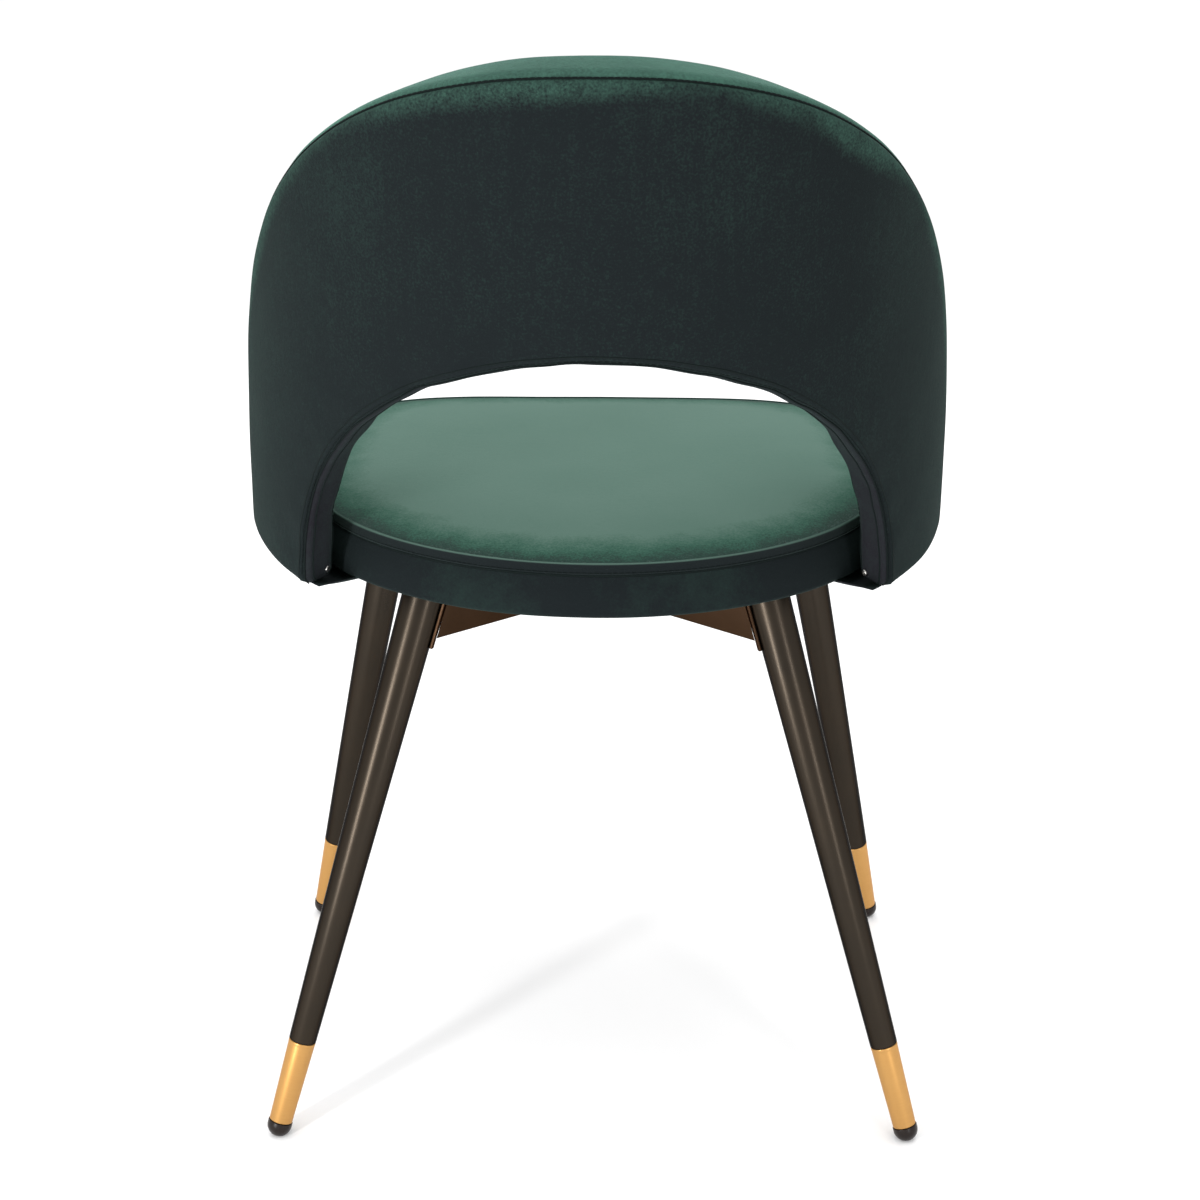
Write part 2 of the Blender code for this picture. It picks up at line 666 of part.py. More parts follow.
def all_legs():
    return [
        Leg(1, "front_left", FRONT_FOOT, FRONT_SPLAY, 1),
        Leg(-1, "rear_right", REAR_FOOT, REAR_SPLAY, -1),
        Leg(-1, "front_right", FRONT_FOOT, FRONT_SPLAY, 1),
        Leg(1, "rear_left", REAR_FOOT, REAR_SPLAY, -1),
    ]


def crossing(legs):
    """Where the line between a front leg and the opposite rear leg passes the middle of the chair."""
    height = RAIL_TOP - RAIL_HEIGHT / 2
    front, rear = (leg.at(leg.along_at(height)) for leg in legs[:2])
    share = front.x / (front.x - rear.x)
    return front.lerp(rear, share)


def make_glide(leg):
    bore = leg.ferrule_radius(leg.ferrule_foot) - FERRULE_WALL - GAP
    dome = [(0, -GLIDE_RADIUS)]
    for degrees in (28, 50, 70):
        angle = math.radians(degrees)
        dome.append((GLIDE_RADIUS * math.sin(angle), -GLIDE_RADIUS * math.cos(angle)))
    collar = GLIDE_COLLAR
    dome += [(GLIDE_RADIUS, 0), (GLIDE_RADIUS, collar), (bore, collar), (bore, collar + GLIDE_STEM)]
    dome.append((0, collar + GLIDE_STEM))
    bm = turned(dome, AROUND_LEG)
    bmesh.ops.transform(bm, matrix=leg.frame((0, 1, 0)).to_3x3().to_4x4(), verts=bm.verts)
    floor = Vector((0, 0, -dome_height()))
    everything = bm.verts[:] + bm.edges[:] + bm.faces[:]
    sliced = bmesh.ops.bisect_plane(bm, geom=everything, plane_co=floor, plane_no=(0, 0, -1), clear_outer=True)
    rim = [e for e in sliced["geom_cut"] if isinstance(e, bmesh.types.BMEdge)]
    bmesh.ops.contextual_create(bm, geom=rim)
    name = f"glide_{leg.word}"
    add_object(name, mesh_from(bm, name, 30), BLACK_PLASTIC, Matrix.Translation(leg.foot))


def make_ferrule(leg):
    low, high = leg.ferrule_foot, leg.ferrule_foot + FERRULE_LENGTH
    outer_low, outer_high = leg.ferrule_radius(low), leg.ferrule_radius(high)
    profile = [
        (outer_low - FERRULE_WALL, low),
        (outer_low, low),
        (outer_high, high),
        (outer_high - FERRULE_WALL, high),
    ]
    name = f"ferrule_{leg.word}"
    add_object(name, mesh_from(turned_ring(profile, AROUND_LEG), name), GOLD, leg.frame((0, 1, 0)))


def make_tube(leg):
    shoulder, end = leg.tube_foot, leg.tube_foot - SPIGOT_LENGTH
    spigot_high = leg.ferrule_radius(shoulder) - FERRULE_WALL - GAP
    spigot_low = leg.ferrule_radius(end) - FERRULE_WALL - GAP
    profile = [
        (LEG_TOP_RADIUS, leg.length),
        (LEG_FOOT_RADIUS, shoulder),
        (spigot_high, shoulder),
        (spigot_low, end),
        (spigot_low - LEG_WALL, end),
        (spigot_high - LEG_WALL, shoulder),
        (LEG_TOP_RADIUS - LEG_WALL, leg.length),
    ]
    name = f"leg_tube_{leg.word}"
    return add_object(name, mesh_from(turned_ring(profile, AROUND_LEG), name), BLACK_STEEL, leg.frame((0, 1, 0)))


def make_saddle(leg, towards):
    low = leg.along_at(RAIL_BOTTOM) - SADDLE_BELOW_RAIL
    high = leg.length
    inside_low, inside_high = leg.radius(low) + GAP, leg.radius(high) + GAP
    profile = [
        (inside_low, low),
        (inside_low + SADDLE_SHEET, low),
        (inside_high + SADDLE_SHEET, high),
        (inside_high, high),
    ]
    name = f"leg_saddle_{leg.word}"
    bm = turned_sector(profile, SADDLE_HALF_ANGLE, 8)
    return add_object(name, mesh_from(bm, name), BLACK_STEEL, leg.frame(towards))


def make_leg_bolts(leg, towards, tube, saddle):
    frame = leg.frame(towards)
    for number in (1, 2):
        along = leg.length - LEG_BOLT_FROM_TOP - LEG_BOLT_PITCH * (number - 1)
        seat = leg.radius(along) + GAP + SADDLE_SHEET + GAP
        slope = math.atan2(LEG_TOP_RADIUS - LEG_FOOT_RADIUS, leg.length - leg.tube_foot)
        place = frame @ frame_at((seat, 0, along), (math.cos(slope), 0, -math.sin(slope)), (0, 1, 0))
        name = f"leg_bolt_{leg.word}_{number}"
        hole = make_bolt(name, place, LEG_BOLT_LENGTH)
        cut(tube, hole)
        cut(saddle, hole)


def make_bolt(name, place, length):
    """A bolt whose head stands on the place's Z = 0 and whose shank goes down. Returns the cutter for its hole."""
    head, tall = M6_HEAD_RADIUS, M6_HEAD_HEIGHT
    profile = [(0, tall), (head * 0.8, tall), (head, tall * 0.5), (head, 0), (M6_RADIUS, 0), (M6_RADIUS, -length)]
    profile.append((0, -length))
    add_object(name, mesh_from(turned(profile, AROUND_BOLT), name), ZINC, place)
    reach = length + 4 * GAP
    return cylinder_cutter(f"{name}_hole", M6_HOLE, reach, place @ shift(z=-reach / 2))


def make_rail(name, start, end, ends_at, keep_clear=()):
    """A channel from start to end, cut to the saddles of the legs at its ends and to other channels in its way."""
    along = Vector((end.x - start.x, end.y - start.y, 0))
    half, sheet = RAIL_WIDTH / 2, RAIL_SHEET
    outline = [
        (-half, RAIL_BOTTOM),
        (-half, RAIL_TOP),
        (half, RAIL_TOP),
        (half, RAIL_BOTTOM),
        (half - sheet, RAIL_BOTTOM),
        (half - sheet, RAIL_TOP - sheet),
        (-half + sheet, RAIL_TOP - sheet),
        (-half + sheet, RAIL_BOTTOM),
    ]
    middle = (start + end) / 2
    place = frame_at((middle.x, middle.y, 0), (0, 0, 1), Vector((along.y, -along.x, 0)))
    rail = add_object(name, mesh_from(prism(outline, along.length), name), BLACK_STEEL, place)
    for leg in ends_at:
        low, high = leg.along_at(RAIL_BOTTOM) - 0.02, leg.along_at(RAIL_TOP) + 0.02
        around = GAP + SADDLE_SHEET + GAP
        bm = turned([(0, high), (leg.radius(high) + around, high), (leg.radius(low) + around, low), (0, low)], 32)
        cut(rail, place_cutter(f"{name}_end_{leg.word}", bm, leg.frame((0, 1, 0))))
    for number, other in enumerate(keep_clear):
        size = (RAIL_WIDTH + 2 * GAP, 0.2, RAIL_HEIGHT + 0.02)
        level = shift(z=RAIL_TOP - RAIL_HEIGHT / 2)
        cut(rail, box_cutter(f"{name}_crossing_{number}", size, other @ level))
    return rail, place


def make_cross_frame(legs):
    middle = crossing(legs)
    tubes, saddles = [], []
    for leg in legs:
        towards = middle - leg.at(leg.along_at(middle.z))
        tube = make_tube(leg)
        saddle = make_saddle(leg, towards)
        make_leg_bolts(leg, towards, tube, saddle)
        tubes.append(tube)
        saddles.append(saddle)

    ends = [leg.at(leg.along_at(middle.z)) for leg in legs]
    long_rail, place = make_rail("cross_rail_long", ends[0], ends[1], legs[:2])
    clear = [Matrix.Translation((middle.x, middle.y, 0)) @ place.to_3x3().to_4x4()]
    front, _ = make_rail("cross_rail_short_front", ends[2], middle, legs[2:3], clear)
    rear, _ = make_rail("cross_rail_short_rear", middle, ends[3], legs[3:4], clear)

    for leg, end, rail in zip(legs, ends, (long_rail, long_rail, front, rear)):
        direction = Vector((end.x - middle.x, end.y - middle.y, 0)).normalized()
        spot = Vector((middle.x, middle.y, 0)) + direction * SEAT_BOLT_FROM_CROSSING
        make_seat_bolt(leg.word, spot, rail)


def make_seat_bolt(word, spot, rail):
    under_web = RAIL_TOP - RAIL_SHEET - GAP
    place = Matrix.Translation((spot.x, spot.y, under_web)) @ Matrix.Rotation(math.pi, 4, "X")
    length = BOARD_TOP - 4 * GAP - under_web
    hole = make_bolt(f"seat_bolt_{word}", place, length)
    cut(rail, hole)
    cut(bpy.data.objects["seat_dust_cover"], hole)

    bore, barrel, flange = M6_HOLE, T_NUT_BARREL, T_NUT_FLANGE
    thin, deep = T_NUT_FLANGE_HEIGHT, T_NUT_DEPTH
    profile = [(bore, 0), (flange, 0), (flange, -thin), (barrel, -thin), (barrel, -deep), (bore, -deep)]
    name = f"t_nut_{word}"
    nut_place = Matrix.Translation((spot.x, spot.y, BOARD_TOP - GAP))
    add_object(name, mesh_from(turned_ring(profile, AROUND_BOLT), name), ZINC, nut_place)

    seat_thin = thin + GAP
    wide, through = flange + GAP, barrel + GAP
    recess = [(0, 0.002), (wide, 0.002), (wide, -seat_thin), (through, -seat_thin), (through, -0.02), (0, -0.02)]
    bm = turned(recess, AROUND_BOLT)
    cut(bpy.data.objects["seat_board"], place_cutter(f"{name}_recess", bm, nut_place))


def make_back():
    foam_near = FABRIC + LAYER_GAP
    ply_near = foam_near + OUTER_FOAM + LAYER_GAP
    padding_near = PLY_FAR + LAYER_GAP
    above_cap = FABRIC + LAYER_GAP
    wall_layer("back_outer_panel", 0.0, FABRIC, VELVET, square_rims=True)
    wall_layer("back_outer_foam", foam_near, foam_near + OUTER_FOAM, FOAM, square_rims=True, foot=above_cap)
    wall_layer("back_plywood_shell", ply_near, PLY_FAR, PLYWOOD, foot=above_cap)
    wall_layer("back_inner_foam", padding_near, -FABRIC - LAYER_GAP, FOAM, foot=above_cap)
    wall_layer("back_inner_panel", -FABRIC, None, VELVET, square_rims=True)
    edge_band("back_top_edge_band", top_edge, 1)
    edge_band("back_opening_edge_band", opening_edge, -1)
    make_bottom_panels()
    for side, word in ((1, "left"), (-1, "right")):
        make_bracket(side, word)


def centre_over_origin():
    bpy.context.view_layer.update()
    depsgraph = bpy.context.evaluated_depsgraph_get()
    reach = []
    for obj in PARTS.objects:
        if obj.type == "MESH":
            seen = obj.evaluated_get(depsgraph)
            reach += [(seen.matrix_world @ Vector(corner)).y for corner in seen.bound_box]
    CHAIR.location.y = -(min(reach) + max(reach)) / 2


clear_scene()
PARTS = new_collection("dining_chair")
CUTTERS = new_collection("cutters")
CHAIR = bpy.data.objects.new("dining_chair", None)
PARTS.objects.link(CHAIR)

make_seat()
LEGS = all_legs()
for each_leg in LEGS:
    make_glide(each_leg)
    make_ferrule(each_leg)
make_cross_frame(LEGS)
make_back()
centre_over_origin()
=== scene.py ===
"""Dining chair: velvet covers, seams, metal legs and studio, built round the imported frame.

Metres, +Z up. The sitter faces -Y. Arc lengths run round the back from its rear centre line, and depths go in
from the back's outer face.
"""

import math

import bmesh
import bpy
from bpy.props import FloatProperty, FloatVectorProperty, IntProperty, PointerProperty
from mathutils import Matrix, Vector, noise


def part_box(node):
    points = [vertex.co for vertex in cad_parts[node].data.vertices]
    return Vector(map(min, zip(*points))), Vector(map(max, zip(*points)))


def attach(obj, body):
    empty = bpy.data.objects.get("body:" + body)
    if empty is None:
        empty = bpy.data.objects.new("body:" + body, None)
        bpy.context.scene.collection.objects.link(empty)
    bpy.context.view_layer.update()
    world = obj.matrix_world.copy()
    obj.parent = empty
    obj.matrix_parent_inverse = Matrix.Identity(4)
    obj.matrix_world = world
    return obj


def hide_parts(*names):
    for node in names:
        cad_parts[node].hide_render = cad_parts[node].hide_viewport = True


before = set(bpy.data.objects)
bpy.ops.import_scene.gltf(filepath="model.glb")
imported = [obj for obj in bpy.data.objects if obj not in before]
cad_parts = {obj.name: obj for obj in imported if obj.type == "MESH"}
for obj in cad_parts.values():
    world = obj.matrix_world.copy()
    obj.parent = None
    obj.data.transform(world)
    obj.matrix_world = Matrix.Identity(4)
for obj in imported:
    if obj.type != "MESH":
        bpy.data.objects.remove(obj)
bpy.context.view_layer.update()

bl_info = {
    "name": "Round-Back Dining Chair",
    "version": (1, 0, 0),
    "blender": (4, 5, 0),
    "location": "View3D > Sidebar > Chair",
    "description": "Upholsters and finishes a dining chair round its packed frame",
    "category": "Object",
}

SEAT_BAND_LOW, SEAT_BAND_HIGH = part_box("seat_side_band")
SEAT_TOP_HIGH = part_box("seat_top_panel")[1].z
RAIL_LOW, RAIL_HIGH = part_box("cross_rail_long")


def length(name, description, default):
    return FloatProperty(name=name, description=description, default=default, unit="LENGTH", precision=4)


def angle(name, description, degrees):
    return FloatProperty(name=name, description=description, default=math.radians(degrees), subtype="ANGLE")


def number(name, description, default):
    return FloatProperty(name=name, description=description, default=default)


def pair(name, description, default):
    return FloatVectorProperty(name=name, description=description, default=default, size=2)


def colour(name, description, default):
    return FloatVectorProperty(
        name=name, description=description, default=default, size=3, subtype="COLOR", min=0.0, max=1.0
    )


class BackSizes(bpy.types.PropertyGroup):
    """The back's wall, as the frame has it, and the upholstery that covers it."""

    radius: length("Radius", "Outer face of the wall at the level of the seat", 0.2543)
    recline: angle("Recline", "Lean of the rear of the wall", 11)
    rise: length("Rise", "From the seat's underside to the top edge of the outer face", 0.376)
    thin: length("Thickness beside the seat", "Wall thickness at the wings", 0.030)
    thick: length("Thickness at the top", "Wall thickness at the top rail", 0.042)
    thickens_after: length("Thickens after", "Height over the underside where the padding grows", 0.050)
    wing_lift: length("Wing lift", "Rise of a wing's lower end towards its front", 0.011)
    spring_drop: length("Arch spring", "How far under the seat the top edge's arch springs", 0.047)
    edge_angle: angle("Wing reach", "Plan angle of a wing's front edge", 87.04)
    edge_fullness: number("Shoulder fullness", "Exponent across the arch", 2.27)
    edge_droop: number("Shoulder droop", "Exponent down the arch", 1.86)
    opening_rise: length("Cut-out rise", "From the seat's underside to the crown of the cut-out", 0.192)
    opening_angle: angle("Cut-out reach", "Plan angle of the cut-out's foot", 52.6)
    opening_flare: number("Cut-out flare", "Widening for each unit of depth", 0.25)
    crest_round: length("Crest roll", "Radius of the outer cover over the top", 0.0100)
    shoulder_round: length("Shoulder roll", "Radius of the outer cover over the wings' edges", 0.0080)
    outer_round: length("Outer roll", "Radius of the outer cover round the cut-out", 0.006)
    inner_round: length("Inner roll", "Radius of the inner cover at its edges", 0.012)
    corner_round: length("Wing corner", "Radius of a wing's lower front corner", 0.030)
    foot_round: length("Wing foot roll", "Radius of the covers at a wing's lower end", 0.005)
    cover: length("Cover thickness", "Velvet with its backing", 0.0015)
    columns: IntProperty(name="Columns", description="Divisions of half the back, round it", default=96)
    rows: IntProperty(name="Rows", description="Divisions of a cover, across it", default=48)


class SeatSizes(bpy.types.PropertyGroup):
    """The seat pad."""

    underside: length("Underside", "Height of the seat board's underside", SEAT_BAND_LOW.z)
    seam: length("Seam height", "Height of the seam under the top cover", SEAT_BAND_HIGH.z)
    rim: length("Rim height", "Height where the top cover turns over the edge", SEAT_BAND_HIGH.z + 0.009)
    crown: length("Crown height", "Height of the middle of the seat", SEAT_TOP_HIGH)
    radius: length("Rear radius", "Half round of the rear of the seat at its foot", SEAT_BAND_HIGH.x)
    front: length("Front reach", "From the plan centre to the front edge", 0.220)
    squareness: number("Front squareness", "Exponent of the front outline", 4.6)
    taper: length("Taper", "How far in the seam lies from the foot", 0.006)
    crown_spread: length("Crown spread", "Distance over which the top rises from its rim", 0.040)
    ridge: length("Ridge", "Radius of the turned edge along the rim", 0.0011)
    fold: length("Fold", "Width of velvet turned under the board", 0.012)
    around: IntProperty(name="Divisions", description="Divisions round the seat", default=176)


class LegSizes(bpy.types.PropertyGroup):
    """Legs, ferrules and glides."""

    top: length("Leg top", "Height of the middle of a tube's upper end", RAIL_HIGH.z - 0.0061)
    top_radius: length("Top radius", "Radius of a tube at its top", 0.0153)
    foot_radius: length("Foot radius", "Radius of a tube where it meets the ferrule", 0.0101)
    wall: length("Tube wall", "Thickness of the tube", 0.0015)
    ferrule: length("Ferrule", "Length of the metal sleeve", 0.065)
    tip_radius: length("Tip radius", "Radius of the ferrule at its foot", 0.0086)
    glide_radius: length("Glide", "Radius of the dome under a leg", 0.0091)
    glide_flat: length("Glide flat", "Radius of the flat that touches the floor", 0.004)
    glide_collar: length("Glide collar", "From the dome's centre to the ferrule", 0.003)
    gap: length("Gap", "Space kept between pieces that touch", 0.0003)
    rear_foot: pair("Rear foot", "Plan place", (0.2328, 0.165))
    rear_splay: pair("Rear splay", "Run for each unit up", (0.275, 0.152))
    front_foot: pair("Front foot", "Plan place", (0.2374, -0.2045))
    front_splay: pair("Front splay", "Run for each unit up", (0.197, 0.156))
    saddle: length("Saddle sheet", "Thickness of the plate round a leg", 0.0025)


class Colours(bpy.types.PropertyGroup):
    """Colours of the finishes."""

    # pile_deep is the velvet's own dark colour. pile_lit is the colour of random brushed patches, and also
    # painted light and painted sheen, blended in over a piece's lit share and near its seams.
    pile_deep: colour("Pile, looked into", "Velvet seen against its nap", (0.0076, 0.0103, 0.0115))
    pile_lit: colour("Pile, brushed", "Velvet seen along its nap", (0.060, 0.150, 0.112))
    # Painted light: the seat's flat top, lit from above and seen in grazing sheen, painted as a lighter
    # colour of the same velvet.
    pile_seat: colour("Seat pile", "Velvet of the seat, brushed flat", (0.095, 0.165, 0.135))
    # Partly painted shade, where the seat's top turns down towards the rim, and partly random tone in patches
    # and specks over the flat top.
    pile_seat_deep: colour("Seat pile, deep", "Velvet of the seat where it turns down", (0.022, 0.080, 0.054))
    # Painted shade: the dark band beside the seat's ridge, where the cover turns over the edge.
    pile_rim: colour("Seat pile at the rim", "Velvet beside the seat's ridge", (0.014, 0.033, 0.027))
    pile_shadow: colour("Pile in the cut-out", "Velvet on the edge of the cut-out", (0.0110, 0.0085, 0.0130))
    thread: colour("Thread", "Sewing thread", (0.0025, 0.0050, 0.0048))
    lint: colour("Lint", "Specks caught in the pile", (0.20, 0.26, 0.22))
    paint: colour("Leg paint", "Satin bronze-black coat", (0.026, 0.0215, 0.0165))
    paint_warm: colour("Leg paint, warm", "Where the coat shows brown", (0.038, 0.028, 0.019))
    rail_paint: colour("Rail paint", "Coat of the cross frame", (0.046, 0.026, 0.015))
    gold: colour("Ferrule", "Satin brass plate", (0.56, 0.30, 0.085))
    gold_deep: colour("Ferrule, deep", "Brass plate where it darkens", (0.42, 0.20, 0.042))
    plastic: colour("Glide", "Moulded foot", (0.007, 0.004, 0.003))
    zinc: colour("Fasteners", "Bright zinc", (0.62, 0.61, 0.58))


class Studio(bpy.types.PropertyGroup):
    """Camera, lights and floor."""

    eye: FloatVectorProperty(
        name="Camera place",
        description="Where the camera stands",
        size=3,
        default=(-0.0066, 1.8001, 1.0254),
        unit="LENGTH",
    )
    pitch: angle("Pitch", "Downwards", 19.74)
    yaw: FloatProperty(name="Yaw", description="To the side", default=0.0021, subtype="ANGLE")
    roll: FloatProperty(name="Roll", description="Turn about the view", default=0.0065, subtype="ANGLE")
    lens: number("Lens", "Focal length in millimetres", 77.907)
    shift: number("Shift", "Vertical shift of the picture", 0.0048)
    floor: length("Floor", "Side of the floor", 60.0)
    sky: number("Surround", "Brightness of the pale surround", 1.06)


def back_sizes():
    return bpy.context.scene.chair_back


def seat_sizes():
    return bpy.context.scene.chair_seat


def leg_sizes():
    return bpy.context.scene.chair_legs


def colours():
    return bpy.context.scene.chair_colours


# ---------------------------------------------------------------- modelling helpers

NEAR = 1e-5  # points closer than this in height are on the same ring


def leave_edit():
    bpy.ops.object.mode_set(mode="OBJECT")


def select_everything():
    bpy.ops.mesh.select_all(action="SELECT")


def deselect():
    if bpy.context.object and bpy.context.object.mode != "OBJECT":
        leave_edit()
    bpy.ops.object.select_all(action="DESELECT")


def make_active(obj):
    deselect()
    obj.select_set(True)
    bpy.context.view_layer.objects.active = obj


def edit(obj):
    make_active(obj)
    bpy.ops.object.mode_set(mode="EDIT")
    bpy.ops.mesh.select_all(action="DESELECT")


def choose(obj, mode, test):
    """In edit mode, selects the vertices, edges or faces that pass the test."""
    bpy.ops.mesh.select_mode(type=mode)
    bm = bmesh.from_edit_mesh(obj.data)
    for group in (bm.verts, bm.edges, bm.faces):
        for item in group:
            item.select = False
    chosen = {"VERT": bm.verts, "EDGE": bm.edges, "FACE": bm.faces}[mode]
    for item in chosen:
        if test(item):
            item.select = True
    bm.select_flush_mode()
    bmesh.update_edit_mesh(obj.data)


def apply_modifier(obj, kind, **values):
    make_active(obj)
    made = obj.modifiers.new(kind.lower(), kind)
    for key, value in values.items():
        setattr(made, key, value)
    bpy.ops.object.modifier_apply(modifier=made.name)


def smooth(obj, degrees):
    make_active(obj)
    bpy.ops.object.shade_smooth_by_angle(angle=math.radians(degrees))


def place(obj, matrix):
    """Moves a finished piece's mesh to its place, with the object itself at the origin."""
    make_active(obj)
    obj.matrix_world = matrix
    bpy.ops.object.transform_apply(location=True, rotation=True, scale=True)


def join(pieces, name):
    deselect()
    for piece in pieces:
        piece.select_set(True)
    bpy.context.view_layer.objects.active = pieces[0]
    if len(pieces) > 1:
        bpy.ops.object.join()
    joined = bpy.context.view_layer.objects.active
    joined.name = name
    return joined


def object_from(bm, name):
    """Puts built mesh data in the scene as an object."""
    mesh = bpy.data.meshes.new(name)
    bm.to_mesh(mesh)
    bm.free()
    made = bpy.data.objects.new(name, mesh)
    bpy.context.scene.collection.objects.link(made)
    return made


def copy_of(obj, name):
    made = obj.copy()
    made.data = obj.data.copy()
    made.name = name
    bpy.context.scene.collection.objects.link(made)
    return made


def finished(obj, name, finish, slot, replaces=()):
    """Gives a piece its name and material, hangs it under the root body, and hides the CAD nodes it stands
    for.
    """
    obj.name = name
    obj.data.materials.clear()
    obj.data.materials.append(finish)
    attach(obj, "root")
    if replaces:
        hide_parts(*replaces)
    return obj


def frame_at(origin, z_axis, towards):
    """A frame with its Z along z_axis and its X as near as it can be to the direction towards."""
    z_axis = Vector(z_axis).normalized()
    x_axis = Vector(towards) - Vector(towards).dot(z_axis) * z_axis
    x_axis.normalize()
    rotation = Matrix((x_axis, z_axis.cross(x_axis), z_axis)).transposed()
    return Matrix.Translation(origin) @ rotation.to_4x4()


def extrude(height):
    bpy.ops.mesh.extrude_region_move(TRANSFORM_OT_translate={"value": (0, 0, height)})


def bevel_ring(obj, height, offset, segments):
    choose(obj, "EDGE", lambda edge: all(abs(vert.co.z - height) < NEAR for vert in edge.verts))
    bpy.ops.mesh.bevel(offset=offset, segments=segments)


def cut(point, normal, keep_both=False):
    """Cuts the whole mesh with a plane, and clears and closes the side its normal points to."""
    select_everything()
    bpy.ops.mesh.bisect(plane_co=point, plane_no=normal, use_fill=not keep_both, clear_outer=not keep_both)


def loose_copy(node):
    """A copy of a CAD node as one merged mesh, left in edit mode."""
    made = copy_of(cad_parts[node], f"{node}_copy")
    made.parent = None
    made.hide_render = False
    edit(made)
    select_everything()
    bpy.ops.mesh.remove_doubles(threshold=1e-5)
    return made


def softened_copy(node, width):
    """A copy of a hard-edged CAD node with its edges rounded, as folded and cut steel has."""
    made = loose_copy(node)
    bpy.ops.mesh.dissolve_limited(angle_limit=math.radians(1.5))
    leave_edit()
    apply_modifier(
        made,
        "BEVEL",
        width=width,
        segments=3,
        limit_method="ANGLE",
        angle_limit=math.radians(35),
        use_clamp_overlap=True,
    )
    smooth(made, 35)
    return made


# ---------------------------------------------------------------- the back's wall


class Wall:
    """The shape of the back's wall, and of the covers on it."""

    def __init__(self):
        size = back_sizes()
        self.size = size
        self.centre_y = SEAT_BAND_LOW.y + seat_sizes().front
        self.foot = seat_sizes().underside
        self.top = self.foot + size.rise
        self.radius = size.radius
        self.lean = math.tan(size.recline)
        self.edge_base = self.foot - size.spring_drop
        self.edge_arc = size.edge_angle * size.radius
        self.opening_arc = size.opening_angle * size.radius
        self.opening_top = self.foot + size.opening_rise
        rise = self.top - self.edge_base
        low_share = (self.foot + size.wing_lift - self.edge_base) / rise
        self.last = math.acos(low_share ** (size.edge_droop / 2))

    def thickness(self, height):
        low = self.foot + self.size.thickens_after
        share = min(max((height - low) / (self.top - low), 0.0), 1.0)
        return self.size.thin + (self.size.thick - self.size.thin) * share

    def point(self, arc, height, depth):
        angle = arc / self.radius
        rearward = self.radius + (height - self.foot) * self.lean
        if angle > math.pi / 2:
            forward = self.radius * math.pi / 2 - arc
            return Vector((self.radius - depth, self.centre_y + forward, height))
        sine, cosine = math.sin(angle), math.cos(angle)
        face = Vector((self.radius * sine, rearward * cosine, height))
        outward = Vector((sine / self.radius, cosine / rearward, -cosine * cosine * self.lean / rearward))
        spot = face - outward.normalized() * depth
        spot.y += self.centre_y
        return spot

    def wing_foot(self, arc):
        share = (arc - self.opening_arc) / (self.edge_arc - self.opening_arc)
        return self.foot + self.size.wing_lift * min(max(share, 0.0), 1.0)

    def opening_edge(self, share, depth):
        angle = share * math.pi / 2
        half = self.opening_arc + self.size.opening_flare * depth
        return Vector((half * math.sin(angle), self.foot + (self.opening_top - self.foot) * math.cos(angle)))

    def top_edge(self, share, depth):
        angle = share * self.last
        arc = self.edge_arc * math.sin(angle) ** (2 / self.size.edge_fullness)
        height = self.edge_base + (self.top - self.edge_base) * math.cos(angle) ** (2 / self.size.edge_droop)
        return Vector((arc, height))

    def beside(self, edge, share, depth, distance):
        """A point beyond an edge by this distance, square to it."""
        step = 0.002
        low, high = max(share - step, 0.0), min(share + step, 1.0)
        run = edge(high, depth) - edge(low, depth)
        if share < step:
            run.y = 0.0
        square = Vector((-run.y, run.x)).normalized()
        if edge == self.opening_edge:
            square = -square
        return edge(share, depth) + square * distance

    def settle(self, flat, depth, thick):
        """Puts a point of a cover in space, with the wing's lower corner rounded and its foot rolled."""
        arc = flat.x
        above = max(flat.y - self.wing_foot(arc), 0.0)
        before = max(self.edge_arc - arc, 0.0)
        roll = self.size.foot_round
        if above < roll:
            fall = roll - math.sqrt(roll**2 - (roll - above) ** 2)
            depth = thick / 2 + (depth - thick / 2) * (1 - 2 * fall / thick)
        corner = self.size.corner_round
        height = self.wing_foot(arc) + above
        if above < corner and before < corner:
            u, v = 1 - before / corner, 1 - above / corner
            pull = max(u, v) / math.hypot(u, v) if u + v > 0 else 1.0
            arc = self.edge_arc - corner * (1 - u * pull)
            height = self.wing_foot(arc) + corner * (1 - v * pull)
        return self.point(arc, height, depth)

    def outer_roll(self, edge, share):
        """Radius of the outer cover's roll: fuller over the crest than at the wings and the cut-out."""
        if edge == self.opening_edge:
            return self.size.outer_round
        crest = max(1.0 - share / 0.9, 0.0)
        crest = crest * crest * (3 - 2 * crest)
        return self.size.shoulder_round + (self.size.crest_round - self.size.shoulder_round) * crest


SEAM_TURN = math.radians(46)  # how far round the roll an edge band's seams lie
OUTER, INNER = 0, 1
CUT_PUCKER = 0.0022  # outward puckering of the covers round the cut-out
RIPPLE_SIZE, RIPPLE_HEIGHT = 0.045, 0.0005  # unevenness of the back's covers
CLOTH_FRAMES = 20  # for a cover to fill out
STITCH_SPACING, STITCH_LENGTH = 0.0042, 0.0034
THREAD_RADIUS, SEAT_THREAD_RADIUS = 0.00032, 0.0003
SEAM_LIFT = -0.0006  # of the fold that closes a seam, from the covers' base shape


def on_roll(wall, edge, share, face, turn):
    """A point on the rolled edge of a cover, this far round the roll from where it leaves the flat face."""
    thick = wall.thickness(edge(share, 0.0).y)
    roll = wall.outer_roll(edge, share) if face == OUTER else wall.size.inner_round
    under = roll * (1 - math.cos(turn))
    depth = under if face == OUTER else thick - under
    flat = wall.beside(edge, share, depth, roll * (math.sin(turn) - 1))
    return flat, depth, thick


